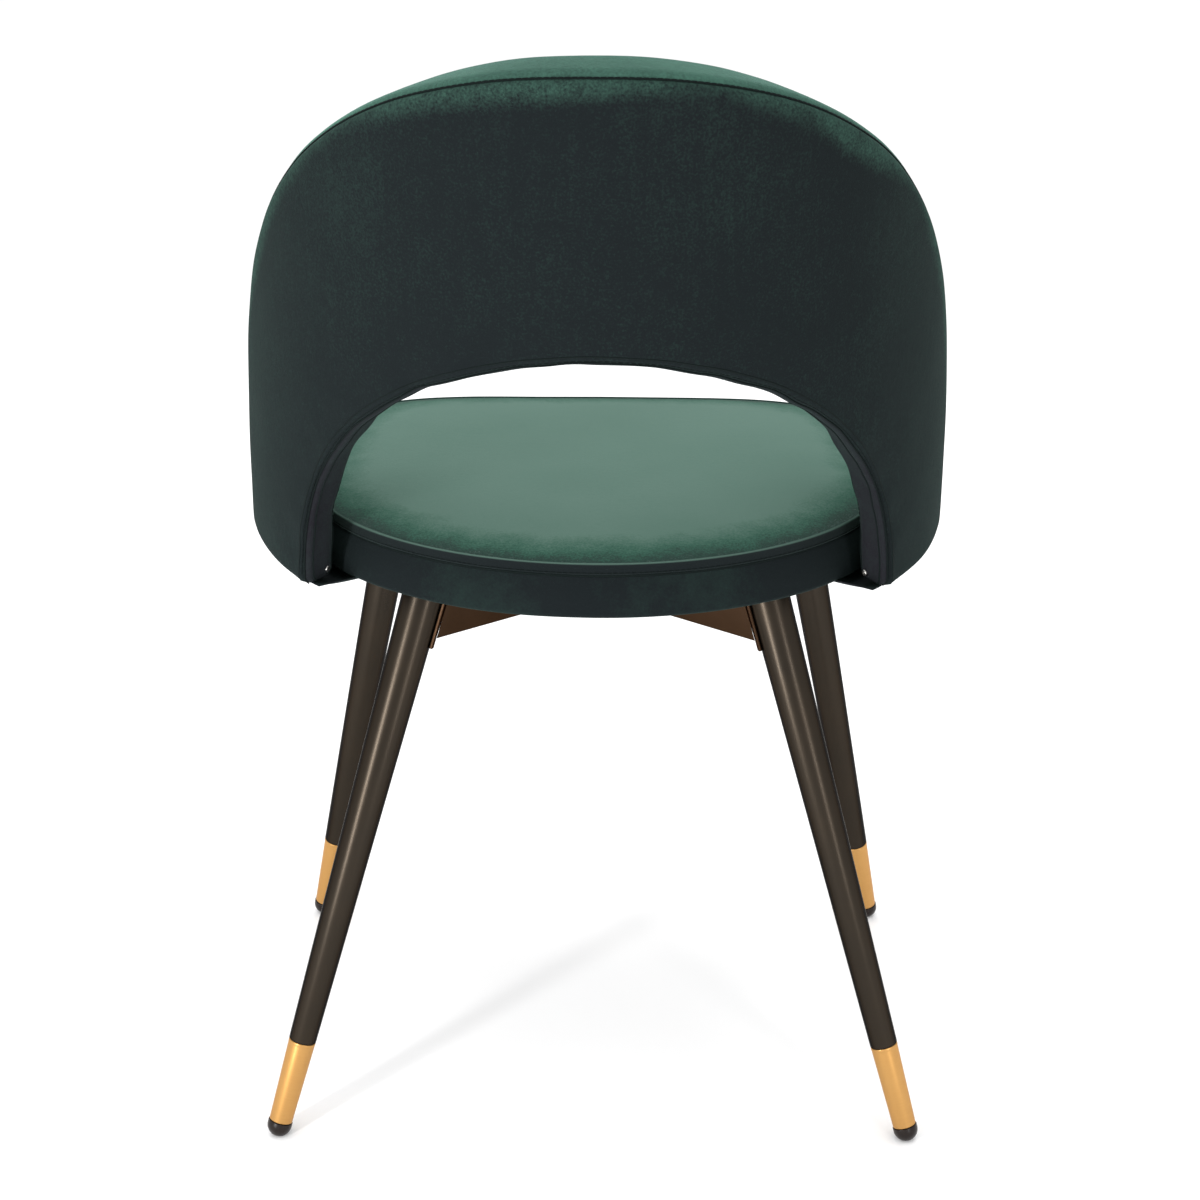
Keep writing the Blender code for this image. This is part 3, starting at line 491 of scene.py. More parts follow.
def panel_point(wall, face):
    """Places a share along and a share across one face's cover, from the cut-out to the top edge."""

    def spot(share, across):
        rolls = []
        for edge in (wall.opening_edge, wall.top_edge):
            roll = wall.outer_roll(edge, share) if face == OUTER else wall.size.inner_round
            rolls.append(roll * SEAM_TURN)
        low = on_roll(wall, wall.opening_edge, share, face, 0.0)
        high = on_roll(wall, wall.top_edge, share, face, 0.0)
        span = (high[0] - low[0]).length
        run = across * (rolls[0] + span + rolls[1])
        if run < rolls[0]:
            turn = SEAM_TURN * (1 - run / rolls[0])
            return wall.settle(*on_roll(wall, wall.opening_edge, share, face, turn))
        if run > rolls[0] + span:
            turn = SEAM_TURN * (run - rolls[0] - span) / rolls[1]
            return wall.settle(*on_roll(wall, wall.top_edge, share, face, turn))
        mix = (run - rolls[0]) / span
        depth, thick = low[1] + (high[1] - low[1]) * mix, low[2] + (high[2] - low[2]) * mix
        return wall.settle(low[0].lerp(high[0], mix), depth, thick)

    return spot


def band_point(wall, edge):
    """Places a share along and a share across an edge band, from its outer seam to its inner one."""

    def spot(share, across):
        thick = wall.thickness(edge(share, 0.0).y)
        outer, inner = wall.outer_roll(edge, share), wall.size.inner_round
        left = math.pi / 2 - SEAM_TURN
        runs = (outer * left, thick - outer - inner, inner * left)
        run = across * sum(runs)
        if run < runs[0]:
            return wall.settle(*on_roll(wall, edge, share, OUTER, SEAM_TURN + run / outer))
        if run > runs[0] + runs[1]:
            back = sum(runs) - run
            return wall.settle(*on_roll(wall, edge, share, INNER, SEAM_TURN + back / inner))
        depth = outer + run - runs[0]
        return wall.settle(wall.beside(edge, share, depth, 0.0), depth, thick)

    return spot


class Pillow:
    """How a cover stands off its base shape: swollen between its seams and drawn in at them."""

    def __init__(self, swell, spread, tuck=0.0010, roll=0.0020):
        self.swell, self.spread, self.tuck, self.roll = swell, spread, tuck, roll

    def offset(self, distance):
        stand = self.swell * (1 - math.exp(-distance / self.spread))
        return stand - self.tuck * math.exp(-((distance / self.roll) ** 2))


def ripple(spot, size, height):
    """Gentle unevenness of stuffed cloth."""
    return height * noise.noise(spot / size)


def pucker_at(spot, height):
    """Outward puckering of cloth where it is drawn over the cut-out's edge."""
    return height * (0.5 + noise.noise(spot / 0.026))


def gather(share):
    """Spreads divisions so that they are close together at both ends."""
    return 0.5 - 0.5 * math.cos(math.pi * share)


def towards_end(share):
    return 0.55 * share + 0.45 * math.sin(share * math.pi / 2)


def new_cloth():
    """Empty mesh data with the layers that every cover carries."""
    bm = bmesh.new()
    bm.verts.layers.float.new("seam")
    bm.verts.layers.float.new("glow")
    bm.loops.layers.uv.new("cloth")
    return bm


def lay_flat(bm, runs):
    """Notes where each point lies on the flat cloth."""
    uv = bm.loops.layers.uv["cloth"]
    for face in bm.faces:
        for loop in face.loops:
            loop[uv].uv = runs[loop.vert]


def dress(bm, cells, wide, tall, pillow, inside, crest_only=False, edge_pucker=0.0):
    """Turns the faces outwards, notes how far each point is from its seams, and swells the cover."""
    seam, glow = bm.verts.layers.float["seam"], bm.verts.layers.float["glow"]
    across = [[0.0] * (tall + 1) for _ in range(wide + 1)]
    along = [[0.0] * (tall + 1) for _ in range(wide + 1)]
    for i in range(wide + 1):
        for j in range(1, tall + 1):
            across[i][j] = across[i][j - 1] + (cells[i, j].co - cells[i, j - 1].co).length
    for j in range(tall + 1):
        for i in range(1, wide + 1):
            along[i][j] = along[i - 1][j] + (cells[i, j].co - cells[i - 1, j].co).length
    middle = cells[wide // 2, tall // 2]
    bm.normal_update()
    if middle.normal.dot(middle.co - inside) < 0:
        bmesh.ops.reverse_faces(bm, faces=bm.faces)
        bm.normal_update()
    runs, moves = {}, {}
    for (i, j), vert in cells.items():
        near = min(across[i][j], across[i][tall] - across[i][j])
        near = min(near, along[i][j], along[wide][j] - along[i][j])
        vert[seam] = near
        # glow is the distance that places the painted sheen: from the crest, or from the nearest seam.
        vert[glow] = across[i][tall] - across[i][j] if crest_only else near
        runs[vert] = (along[i][j] - along[wide][j] / 2, across[i][j])
        step = pillow.offset(near) + ripple(vert.co, RIPPLE_SIZE, RIPPLE_HEIGHT)
        if edge_pucker:
            beside = across[i][j] if crest_only else near
            step += pucker_at(vert.co, edge_pucker) * math.exp(-beside / 0.014)
        moves[vert] = vert.normal * step
    lay_flat(bm, runs)
    for vert, move in moves.items():
        vert.co += move


def cover_mesh(name, spot, wide, tall, pillow, inside, sides=(-1, 1), pucker=0.0, crest_only=False):
    """A cover as a fine sheet over the whole of the back, or over one side of it."""
    both = len(sides) == 2
    bm = new_cloth()
    bmesh.ops.create_grid(bm, x_segments=wide, y_segments=tall, size=0.5)
    cells = {}
    for vert in bm.verts:
        i, j = round((vert.co.x + 0.5) * wide), round((vert.co.y + 0.5) * tall)
        along, across = i / wide, gather(j / tall)
        if both:
            side, share = (1 if along >= 0.5 else -1), towards_end(abs(2 * along - 1))
        else:
            side, share = sides[0], gather(along)
        where = spot(share, across)
        if both and share == 0:
            where.x = 0.0
        where.x *= side
        vert.co = where
        cells[i, j] = vert
    dress(bm, cells, wide, tall, pillow, inside, crest_only=crest_only, edge_pucker=pucker)
    return object_from(bm, name)


def thicken(obj, thickness):
    """Gives a cover its cloth's thickness, inwards, and closes it."""
    apply_modifier(obj, "SOLIDIFY", thickness=thickness, offset=-1.0, use_even_offset=False, use_rim=True)
    edit(obj)
    select_everything()
    bpy.ops.mesh.normals_make_consistent(inside=False)
    leave_edit()
    smooth(obj, 60)
    return obj


def inflate(obj, pressure, cap, pinned_within):
    """Blows a cover up as cloth held at its seams, and keeps each point within the cap."""
    count = len(obj.data.vertices)
    before = [vert.co.copy() for vert in obj.data.vertices]
    held = obj.vertex_groups.new(name="held")
    seam = obj.data.attributes["seam"].data
    for index in range(count):
        near = seam[index].value
        weight = 1.0 if near < pinned_within else max(0.0, 1.0 - (near - pinned_within) / pinned_within)
        if weight > 0:
            held.add([index], weight, "REPLACE")
    make_active(obj)
    cloth = obj.modifiers.new("cloth", "CLOTH")
    settings = cloth.settings
    settings.quality = 5
    settings.mass = 0.25
    settings.tension_stiffness = 18
    settings.compression_stiffness = 18
    settings.bending_stiffness = 2.5
    settings.use_pressure = True
    settings.uniform_pressure_force = pressure
    settings.vertex_group_mass = "held"
    settings.effector_weights.gravity = 0.0
    cloth.point_cache.frame_start, cloth.point_cache.frame_end = 1, CLOTH_FRAMES
    scene = bpy.context.scene
    for step in range(1, CLOTH_FRAMES + 1):
        scene.frame_set(step)
    bpy.ops.object.modifier_apply(modifier=cloth.name)
    for vert, start in zip(obj.data.vertices, before):
        move = vert.co - start
        if move.length > cap:
            vert.co = start + move * (cap / move.length)
    scene.frame_set(1)
    obj.vertex_groups.clear()


# ---------------------------------------------------------------- sewing


def stitch_model(long, radius):
    """One stitch: a short length of thread, rounded at its ends."""
    deselect()
    bpy.ops.mesh.primitive_cylinder_add(vertices=6, radius=radius, depth=long * 0.6)
    made = bpy.context.object
    edit(made)
    choose(made, "FACE", lambda face: abs(face.normal.z) > 0.9)
    bpy.ops.mesh.inset(thickness=radius * 0.45, use_individual=True)
    choose(made, "FACE", lambda face: abs(face.normal.z) > 0.9 and len(face.verts) == 6)
    bm = bmesh.from_edit_mesh(made.data)
    for face in bm.faces:
        if face.select:
            for vert in face.verts:
                vert.co.z = math.copysign(long / 2, vert.co.z)
    bmesh.update_edit_mesh(made.data)
    leave_edit()
    return made


def sew(name, line, radius):
    """Lays stitches end to end along a line of (point, normal)."""
    model = stitch_model(STITCH_LENGTH, radius)
    bm = bmesh.new()
    due = STITCH_SPACING / 2
    run = 0.0
    for (here, normal), (there, _) in zip(line, line[1:]):
        step = (there - here).length
        while step > 0 and due <= run + step:
            spot = here.lerp(there, (due - run) / step)
            added = len(bm.verts)
            bm.from_mesh(model.data)
            bm.verts.ensure_lookup_table()
            where = frame_at(spot, there - here, normal)
            bmesh.ops.transform(bm, matrix=where, verts=bm.verts[added:])
            due += STITCH_SPACING
        run += step
    bpy.data.objects.remove(model)
    made = object_from(bm, name)
    smooth(made, 70)
    return finished(made, name, thread(), "velvet")


def crease(name, line, radius, closed=False):
    """A thin roll of folded cloth that closes a seam."""
    sides = 6
    bm = bmesh.new()
    rings = []
    count = len(line)
    for k, (here, normal) in enumerate(line):
        if closed:
            run = line[(k + 1) % count][0] - line[k - 1][0]
        else:
            run = line[min(k + 1, count - 1)][0] - line[max(k - 1, 0)][0]
        where = frame_at(here, run, normal)
        ring = []
        for side in range(sides):
            angle = 2 * math.pi * side / sides
            ring.append(bm.verts.new(where @ Vector((radius * math.cos(angle), radius * math.sin(angle), 0))))
        rings.append(ring)
    pairs = list(zip(rings, rings[1:]))
    if closed:
        pairs.append((rings[-1], rings[0]))
    else:
        bm.faces.new(reversed(rings[0]))
        bm.faces.new(rings[-1])
    for low, high in pairs:
        for side in range(sides):
            other = (side + 1) % sides
            bm.faces.new((low[side], low[other], high[other], high[side]))
    made = object_from(bm, name)
    smooth(made, 80)
    return finished(made, name, thread(), "velvet")


def seam_line(spot, across, count, lift, inside, span=(-1.0, 1.0), pucker=0.0):
    """Points and outward normals along a cover, at one share across it."""
    step = 0.004
    line = []
    for i in range(count + 1):
        signed = span[0] + (span[1] - span[0]) * i / count
        share = min(abs(signed), 1.0)
        flip = 1 if signed >= 0 else -1
        here = spot(share, across)
        if share < 1 - step:
            there = spot(share + step, across)
        else:
            there = here * 2 - spot(share - step, across)
        over = spot(share, min(across + 0.01, 1.0)) - spot(share, max(across - 0.01, 0.0))
        normal = (there - here).cross(over).normalized()
        if normal.dot(here - inside(share)) < 0:
            normal.negate()
        here.x *= flip
        normal.x *= flip
        stand = lift + pucker_at(here, pucker) + ripple(here, RIPPLE_SIZE, RIPPLE_HEIGHT)
        line.append((here + normal * stand, normal))
    return line


# ---------------------------------------------------------------- materials


def add(tree, kind, inputs=None, **values):
    """Adds a node. An input is a socket to link or a value to set, by name or number."""
    made = tree.nodes.new(kind)
    for key, value in values.items():
        setattr(made, key, value)
    for key, value in (inputs or {}).items():
        if isinstance(value, bpy.types.NodeSocket):
            tree.links.new(value, made.inputs[key])
        else:
            made.inputs[key].default_value = value
    return made


def object_place(tree):
    return add(tree, "ShaderNodeTexCoord").outputs["Object"]


def cloudy(tree, where, scale, detail, roughness=0.5):
    """Soft noise over a surface."""
    inputs = {"Vector": where, "Scale": scale, "Detail": detail, "Roughness": roughness}
    return add(tree, "ShaderNodeTexNoise", inputs).outputs[0]


def ranged(tree, value, low, high, to_low=0.0, to_high=1.0, **values):
    inputs = {"Value": value, "From Min": low, "From Max": high, "To Min": to_low, "To Max": to_high}
    return add(tree, "ShaderNodeMapRange", inputs, **values).outputs[0]


def paint(tree, shader, tone):
    tree.links.new(tone, shader.inputs["Base Color"])


def made_once(name):
    """Marks a function that makes the material of this name, so that it is made once and then found."""

    def mark(maker):
        def give():
            return bpy.data.materials.get(name) or maker(name)

        return give

    return mark


def sum_up(tree, operation, a, b, clamp=False):
    return add(tree, "ShaderNodeMath", {0: a, 1: b}, operation=operation, use_clamp=clamp).outputs[0]


def group(name, inputs, outputs):
    """A new node group with its named sockets, and its input and output nodes."""
    tree = bpy.data.node_groups.new(name, "ShaderNodeTree")
    for label, kind, default in inputs:
        socket = tree.interface.new_socket(label, in_out="INPUT", socket_type=kind)
        if default is not None:
            socket.default_value = default
    for label, kind in outputs:
        tree.interface.new_socket(label, in_out="OUTPUT", socket_type=kind)
    return tree, tree.nodes.new("NodeGroupInput"), tree.nodes.new("NodeGroupOutput")


VALUE, VECTOR = "NodeSocketFloat", "NodeSocketVector"


def make_nap_and_sheen_group():
    """Shade of the pile: random brushing, mottling and streaks up the cloth, painted light from the bias, and
    a painted sheen zone by the seams.
    """
    sockets = [
        ("Place", VECTOR, None),
        ("Cloth", VECTOR, None),
        ("Seam", VALUE, 1.0),
        ("Bias", VALUE, 0.0),
        ("Brushing", VALUE, 0.2),
        ("Mottle", VALUE, 0.2),
        ("Streaks", VALUE, 0.2),
        ("Grain", VALUE, 0.05),
        ("Glow", VALUE, 0.5),
        ("Glow Width", VALUE, 0.03),
    ]
    tree, source, sink = group("Velvet Nap and Sheen", sockets, [("Shade", VALUE)])
    given = source.outputs
    broad = cloudy(tree, given["Place"], 9.0, 2.0)
    grain = cloudy(tree, given["Place"], 95.0, 6.0, 0.75)
    drawn = add(tree, "ShaderNodeMapping", {"Vector": given["Cloth"], "Scale": (150.0, 11.0, 1.0)}).outputs[0]
    streak = cloudy(tree, drawn, 1.0, 4.0, 0.6)
    fine = cloudy(tree, given["Place"], 620.0, 3.0)
    total = given["Bias"]
    for field, amount in ((broad, "Brushing"), (grain, "Mottle"), (streak, "Streaks"), (fine, "Grain")):
        centred = sum_up(tree, "SUBTRACT", field, 0.5)
        total = sum_up(tree, "ADD", total, sum_up(tree, "MULTIPLY", centred, given[amount]))
    uneven = sum_up(tree, "MULTIPLY", sum_up(tree, "SUBTRACT", broad, 0.5), 0.03)
    # The glow zone is painted sheen beside the seams, mottled by the grain.
    distance = sum_up(tree, "ADD", given["Seam"], uneven)
    zone = ranged(tree, distance, 0.0, given["Glow Width"], 1.0, 0.0, interpolation_type="SMOOTHSTEP")
    mixed = sum_up(tree, "ADD", grain, fine)
    rough = sum_up(tree, "MULTIPLY_ADD", mixed, 1.6)
    rough.node.inputs[2].default_value = -0.7
    glow = sum_up(tree, "MULTIPLY", sum_up(tree, "MULTIPLY", zone, rough), given["Glow"])
    total = sum_up(tree, "ADD", total, glow, clamp=True)
    tree.links.new(total, sink.inputs["Shade"])
    return tree


def make_pile_group():
    """Relief of short pile: tufts a fraction of a millimetre wide on a slightly uneven ground."""
    sockets = [("Place", VECTOR, None), ("Tuft Scale", VALUE, 1600.0)]
    tree, source, sink = group("Velvet Pile", sockets, [("Height", VALUE)])
    given = source.outputs
    tufts = cloudy(tree, given["Place"], given["Tuft Scale"], 2.0)
    ground = cloudy(tree, given["Place"], 210.0, 4.0)
    height = sum_up(tree, "MULTIPLY_ADD", ground, 0.7)
    tree.links.new(tufts, height.node.inputs[2])
    tree.links.new(height, sink.inputs["Height"])
    return tree


def make_lint_group():
    """Small pale specks, here and there."""
    tree, source, sink = group("Lint", [("Place", VECTOR, None), ("Amount", VALUE, 0.06)], [("Mask", VALUE)])
    given = source.outputs
    cells = add(tree, "ShaderNodeTexVoronoi", {"Vector": given["Place"], "Scale": 62.0})
    close = sum_up(tree, "LESS_THAN", cells.outputs["Distance"], 0.045)
    split = add(tree, "ShaderNodeSeparateColor", {"Color": cells.outputs["Color"]})
    chosen = sum_up(tree, "LESS_THAN", split.outputs[0], given["Amount"])
    tree.links.new(sum_up(tree, "MULTIPLY", close, chosen), sink.inputs["Mask"])
    return tree


def make_coat_group():
    """Sprayed or moulded skin: fine orange peel, and slow changes of gloss from handling."""
    sockets = [
        ("Place", VECTOR, None),
        ("Peel Scale", VALUE, 900.0),
        ("Gloss Low", VALUE, 0.25),
        ("Gloss High", VALUE, 0.4),
    ]
    results = [("Height", VALUE), ("Roughness", VALUE), ("Patch", VALUE)]
    tree, source, sink = group("Coat Skin", sockets, results)
    given = source.outputs
    patch = cloudy(tree, given["Place"], 22.0, 5.0, 0.65)
    tree.links.new(cloudy(tree, given["Place"], given["Peel Scale"], 2.0), sink.inputs["Height"])
    gloss = ranged(tree, patch, 0.3, 0.7, given["Gloss Low"], given["Gloss High"])
    tree.links.new(gloss, sink.inputs["Roughness"])
    tree.links.new(patch, sink.inputs["Patch"])
    return tree


def make_lines_group():
    """Fine turned or brushed lines round a piece, from its own UV map."""
    sockets = [("Cloth", VECTOR, None), ("Around", VALUE, 3.0), ("Along", VALUE, 260.0)]
    tree, source, sink = group("Turned Lines", sockets, [("Value", VALUE)])
    given = source.outputs
    ratio = add(tree, "ShaderNodeCombineXYZ", {0: given["Around"], 1: given["Along"], 2: 1.0}).outputs[0]
    drawn = add(tree, "ShaderNodeVectorMath", {0: given["Cloth"], 1: ratio}, operation="MULTIPLY").outputs[0]
    tree.links.new(cloudy(tree, drawn, 1.0, 4.0, 0.7), sink.inputs["Value"])
    return tree


GROUP_MAKERS = {
    "Velvet Nap and Sheen": make_nap_and_sheen_group,
    "Velvet Pile": make_pile_group,
    "Lint": make_lint_group,
    "Coat Skin": make_coat_group,
    "Turned Lines": make_lines_group,
}


def use_group(tree, name, inputs):
    shared = bpy.data.node_groups.get(name) or GROUP_MAKERS[name]()
    return add(tree, "ShaderNodeGroup", inputs, node_tree=shared)


def new_material(name, **sockets):
    """A material with a Principled shader whose plain values are set on its own sockets."""
    made = bpy.data.materials.new(name)
    made.use_nodes = True
    shader = made.node_tree.nodes["Principled BSDF"]
    for key, value in sockets.items():
        shader.inputs[key.replace("_", " ").title().replace("Ior", "IOR")].default_value = value
    return made, made.node_tree, shader


def blend(tree, factor, a, b):
    """A mix of two colours."""
    made = tree.nodes.new("ShaderNodeMix")
    made.data_type = "RGBA"
    sockets = {"Factor_Float": factor, "A_Color": a, "B_Color": b}
    for socket in made.inputs:
        value = sockets.get(socket.identifier)
        if value is None:
            continue
        if isinstance(value, bpy.types.NodeSocket):
            tree.links.new(value, socket)
        else:
            socket.default_value = value if isinstance(value, float) else (*value, 1.0)
    return next(socket for socket in made.outputs if socket.identifier == "Result_Color")


def bump(tree, shader, height, strength, distance):
    made = add(tree, "ShaderNodeBump", {"Height": height, "Strength": strength, "Distance": distance})
    tree.links.new(made.outputs[0], shader.inputs["Normal"])


def velvet(name, deep, lit, sheen=0.35, **nap):
    """Velvet blended from its deep colour towards a lit one: random nap patches and streaks, with painted
    light from the bias and painted sheen by the seams.
    """
    made, tree, shader = new_material(
        name,
        roughness=0.95,
        sheen_weight=sheen,
        sheen_roughness=0.42,
        sheen_tint=(0.42, 0.80, 0.66, 1.0),
        specular_ior_level=0.06,
    )
    where = object_place(tree)
    cloth = add(tree, "ShaderNodeUVMap", uv_map="cloth").outputs[0]
    seam = add(tree, "ShaderNodeAttribute", attribute_name="glow").outputs["Fac"]
    inputs = {"Place": where, "Cloth": cloth, "Seam": seam}
    inputs.update({key.replace("_", " ").title(): value for key, value in nap.items()})
    shade = use_group(tree, "Velvet Nap and Sheen", inputs).outputs[0]
    pile = blend(tree, shade, deep, lit)
    specks = use_group(tree, "Lint", {"Place": where, "Amount": 0.05}).outputs[0]
    paint(tree, shader, blend(tree, specks, pile, colours().lint))
    height = use_group(tree, "Velvet Pile", {"Place": where}).outputs[0]
    bump(tree, shader, height, 0.55, 0.0006)
    return made


@made_once("Velvet, outer cover")
def outer_velvet(name):
    tone = colours()
    # Painted sheen: glow lightens the outer cover in a band below the crest seam.
    return velvet(
        name, tone.pile_deep, tone.pile_lit, sheen=0.05,
        bias=0.0, brushing=0.10, mottle=0.09, streaks=0.06, grain=0.24, glow=0.28, glow_width=0.019,
    )


@made_once("Velvet, crest band")
def band_velvet(name):
    tone = colours()
    # Painted light: the bias lightens the whole crest band, which faces up into the light.
    return velvet(
        name, tone.pile_deep, tone.pile_lit, sheen=0.3,
        bias=0.50, brushing=0.4, mottle=0.40, streaks=0.0, grain=0.60, glow=0.0,
    )


@made_once("Velvet, cut-out band")
def cut_out_velvet(name):
    tone = colours()
    return velvet(
        name, tone.pile_shadow, tone.pile_lit, sheen=0.04,
        bias=0.05, brushing=0.10, mottle=0.08, streaks=0.0, grain=0.08, glow=0.0,
    )


@made_once("Velvet, inner pad")
def inner_velvet(name):
    tone = colours()
    # Painted light and painted sheen: the bias lightens the whole pad, and glow lightens it further below the
    # crest.
    return velvet(
        name, tone.pile_deep, tone.pile_lit,
        bias=0.30, brushing=0.45, mottle=0.22, streaks=0.16, glow=0.35, glow_width=0.05,
    )


@made_once("Velvet, seat")
def seat_velvet(name):
    """Painted light and shade: lit grey-green where the seat lies flat, a painted highlight on the ridge,
    painted shade in deep green beside the rim, and the velvet's own dark on the strip under it.
    """
    tone = colours()
    made, tree, shader = new_material(
        name,
        roughness=0.95,
        sheen_weight=0.14,
        sheen_roughness=0.45,
        sheen_tint=(0.55, 0.8, 0.7, 1.0),
        specular_ior_level=0.06,
    )
    where = object_place(tree)
    inwards = add(tree, "ShaderNodeAttribute", attribute_name="glow").outputs["Fac"]
    patch = cloudy(tree, where, 42.0, 6.0, 0.7)
    broad = cloudy(tree, where, 9.0, 2.0)
    fine = cloudy(tree, where, 620.0, 3.0)
    uneven = sum_up(tree, "ADD", sum_up(tree, "SUBTRACT", patch, 0.5), sum_up(tree, "SUBTRACT", fine, 0.5))
    on_top = sum_up(tree, "GREATER_THAN", inwards, 0.0015)
    spread = sum_up(tree, "MULTIPLY", sum_up(tree, "MULTIPLY", uneven, 0.034), on_top)
    shifted = sum_up(tree, "ADD", inwards, spread)
    share = ranged(tree, shifted, -0.008, 0.060)
    ramp = tree.nodes.new("ShaderNodeValToRGB")
    # Painted light and shade by distance in from the strip: the velvet's own dark on the strip, a painted
    # highlight on the ridge, painted shade beside the rim, then painted top light towards the flat seat.
    stops = (
        (0.0, tone.pile_deep),
        (0.090, tone.pile_deep),
        # Painted highlight along the ridge.
        (0.108, scaled(tone.pile_seat, 0.8)),
        (0.124, tone.pile_rim),
        (0.20, tone.pile_rim),
        (0.37, tone.pile_seat_deep),
        (0.74, tone.pile_seat),
    )
    while len(ramp.color_ramp.elements) < len(stops):
        ramp.color_ramp.elements.new(0.5)
    for element, (position, shade) in zip(ramp.color_ramp.elements, stops):
        element.position = position
        element.color = (*shade, 1.0)
    tree.links.new(share, ramp.inputs[0])
    flat = ranged(tree, inwards, 0.0, 0.030)
    brushed = sum_up(tree, "MULTIPLY", sum_up(tree, "SUBTRACT", broad, 0.35), 0.45, clamp=True)
    pile = blend(tree, sum_up(tree, "MULTIPLY", brushed, flat), ramp.outputs[0], tone.pile_seat_deep)
    speckle = sum_up(tree, "MULTIPLY", sum_up(tree, "MULTIPLY", fine, 0.22), flat)
    paint(tree, shader, blend(tree, speckle, pile, tone.pile_seat_deep))
    height = use_group(tree, "Velvet Pile", {"Place": where}).outputs[0]
    bump(tree, shader, height, 0.55, 0.0006)
    return made


@made_once("Velvet, seat side")
def boxing_velvet(name):
    tone = colours()
    return velvet(
        name, tone.pile_deep, tone.pile_lit, sheen=0.06,
        bias=0.0, brushing=0.25, mottle=0.12, streaks=0.03, grain=0.08, glow=0.0,
    )


@made_once("Thread")
def thread(name):
    """Spun thread: dark, slightly glossy, with its twist as a fine wave."""
    made, tree, shader = new_material(name, roughness=0.8, specular_ior_level=0.1)
    where = object_place(tree)
    waves = {"Vector": where, "Scale": 900.0, "Distortion": 1.0}
    twist = add(tree, "ShaderNodeTexWave", waves).outputs["Fac"]
    light = scaled(colours().thread, 2)
    paint(tree, shader, blend(tree, twist, colours().thread, light))
    bump(tree, shader, twist, 0.5, 0.0002)
    return made


def coated(name, base, patchy, gloss, peel, **sockets):
    """Paint, plating or moulded plastic: a base colour that shifts in patches, with a fine skin."""
    made, tree, shader = new_material(name, **sockets)
    where = object_place(tree)
    inputs = {"Place": where, "Peel Scale": 900.0, "Gloss Low": gloss[0], "Gloss High": gloss[1]}
    skin = use_group(tree, "Coat Skin", inputs).outputs
    paint(tree, shader, blend(tree, skin["Patch"], base, patchy))
    tree.links.new(skin["Roughness"], shader.inputs["Roughness"])
    bump(tree, shader, skin["Height"], peel, 0.0003)
    return made


# Scales a colour: used for random patch tones, the thread's twist and the painted highlight on the seat's
# ridge.
def scaled(tone, share):
    return tuple(part * share for part in tone)


@made_once("Bronze-black coat")
def leg_paint(name):
    return coated(
        name,
        colours().paint,
        colours().paint_warm,
        (0.27, 0.35),
        0.05,
        metallic=1.0,
        specular_tint=(0.2, 0.18, 0.16, 1.0),
        coat_weight=0.12,
        coat_roughness=0.3,
    )


@made_once("Brown-black coat, rails")
def rail_paint(name):
    warm = colours().rail_paint
    tint = (0.3, 0.2, 0.15, 1.0)
    return coated(name, warm, scaled(warm, 0.7), (0.3, 0.42), 0.08, metallic=1.0, specular_tint=tint)


@made_once("Moulded foot")
def glide_plastic(name):
    tone = colours().plastic
    return coated(name, tone, scaled(tone, 1.8), (0.25, 0.38), 0.1, specular_ior_level=0.25)


@made_once("Bright zinc")
def zinc_plate(name):
    tone = colours().zinc
    return coated(name, tone, scaled(tone, 0.75), (0.18, 0.38), 0.15, metallic=1.0)


@made_once("Satin brass plate")
def brass_plate(name):
    """Satin plate with fine turned lines round it."""
    tone = colours()
    made, tree, shader = new_material(
        name, metallic=1.0, specular_tint=(0.75, 0.5, 0.25, 1.0), coat_weight=0.6, coat_roughness=0.28
    )
    where = object_place(tree)
    own = add(tree, "ShaderNodeUVMap", uv_map="UVMap").outputs[0]
    lines = use_group(tree, "Turned Lines", {"Cloth": own}).outputs[0]
    inputs = {"Place": where, "Peel Scale": 500.0, "Gloss Low": 0.28, "Gloss High": 0.36}
    skin = use_group(tree, "Coat Skin", inputs).outputs
    mixed = sum_up(tree, "MULTIPLY", skin["Patch"], lines)
    paint(tree, shader, blend(tree, mixed, tone.gold, tone.gold_deep))
    rough = sum_up(tree, "MULTIPLY_ADD", lines, 0.12)
    tree.links.new(skin["Roughness"], rough.node.inputs[2])
    tree.links.new(rough, shader.inputs["Roughness"])
    bump(tree, shader, lines, 0.10, 0.0002)
    return made


@made_once("Plywood")
def plywood(name):
    """Layered veneer: long soft grain and plies that show at the edges."""
    made, tree, shader = new_material(name, roughness=0.7)
    where = object_place(tree)
    drawn = add(tree, "ShaderNodeMapping", {"Vector": where, "Scale": (6.0, 60.0, 60.0)}).outputs[0]
    growth = {"Vector": drawn, "Scale": 2.0, "Detail": 6.0, "Distortion": 0.6}
    grain = add(tree, "ShaderNodeTexNoise", growth).outputs[0]
    layers = {"Vector": where, "Scale": 90.0}
    plies = add(tree, "ShaderNodeTexWave", layers, bands_direction="Z").outputs["Fac"]
    wood = blend(tree, grain, (0.58, 0.40, 0.23), (0.40, 0.25, 0.12))
    paint(tree, shader, blend(tree, sum_up(tree, "MULTIPLY", plies, 0.25), wood, (0.30, 0.18, 0.09)))
    bump(tree, shader, grain, 0.2, 0.0005)
    return made


@made_once("Foam")
def foam(name):
    """Open-cell foam: pale yellow with small pores."""
    made, tree, shader = new_material(name, roughness=0.95)
    where = object_place(tree)
    pores = add(tree, "ShaderNodeTexVoronoi", {"Vector": where, "Scale": 700.0}).outputs["Distance"]
    # The darker colour at the pores is painted shade in the holes.
    paint(tree, shader, blend(tree, pores, (0.42, 0.36, 0.20), (0.75, 0.69, 0.48)))
    bump(tree, shader, pores, 0.6, 0.0008)
    return made


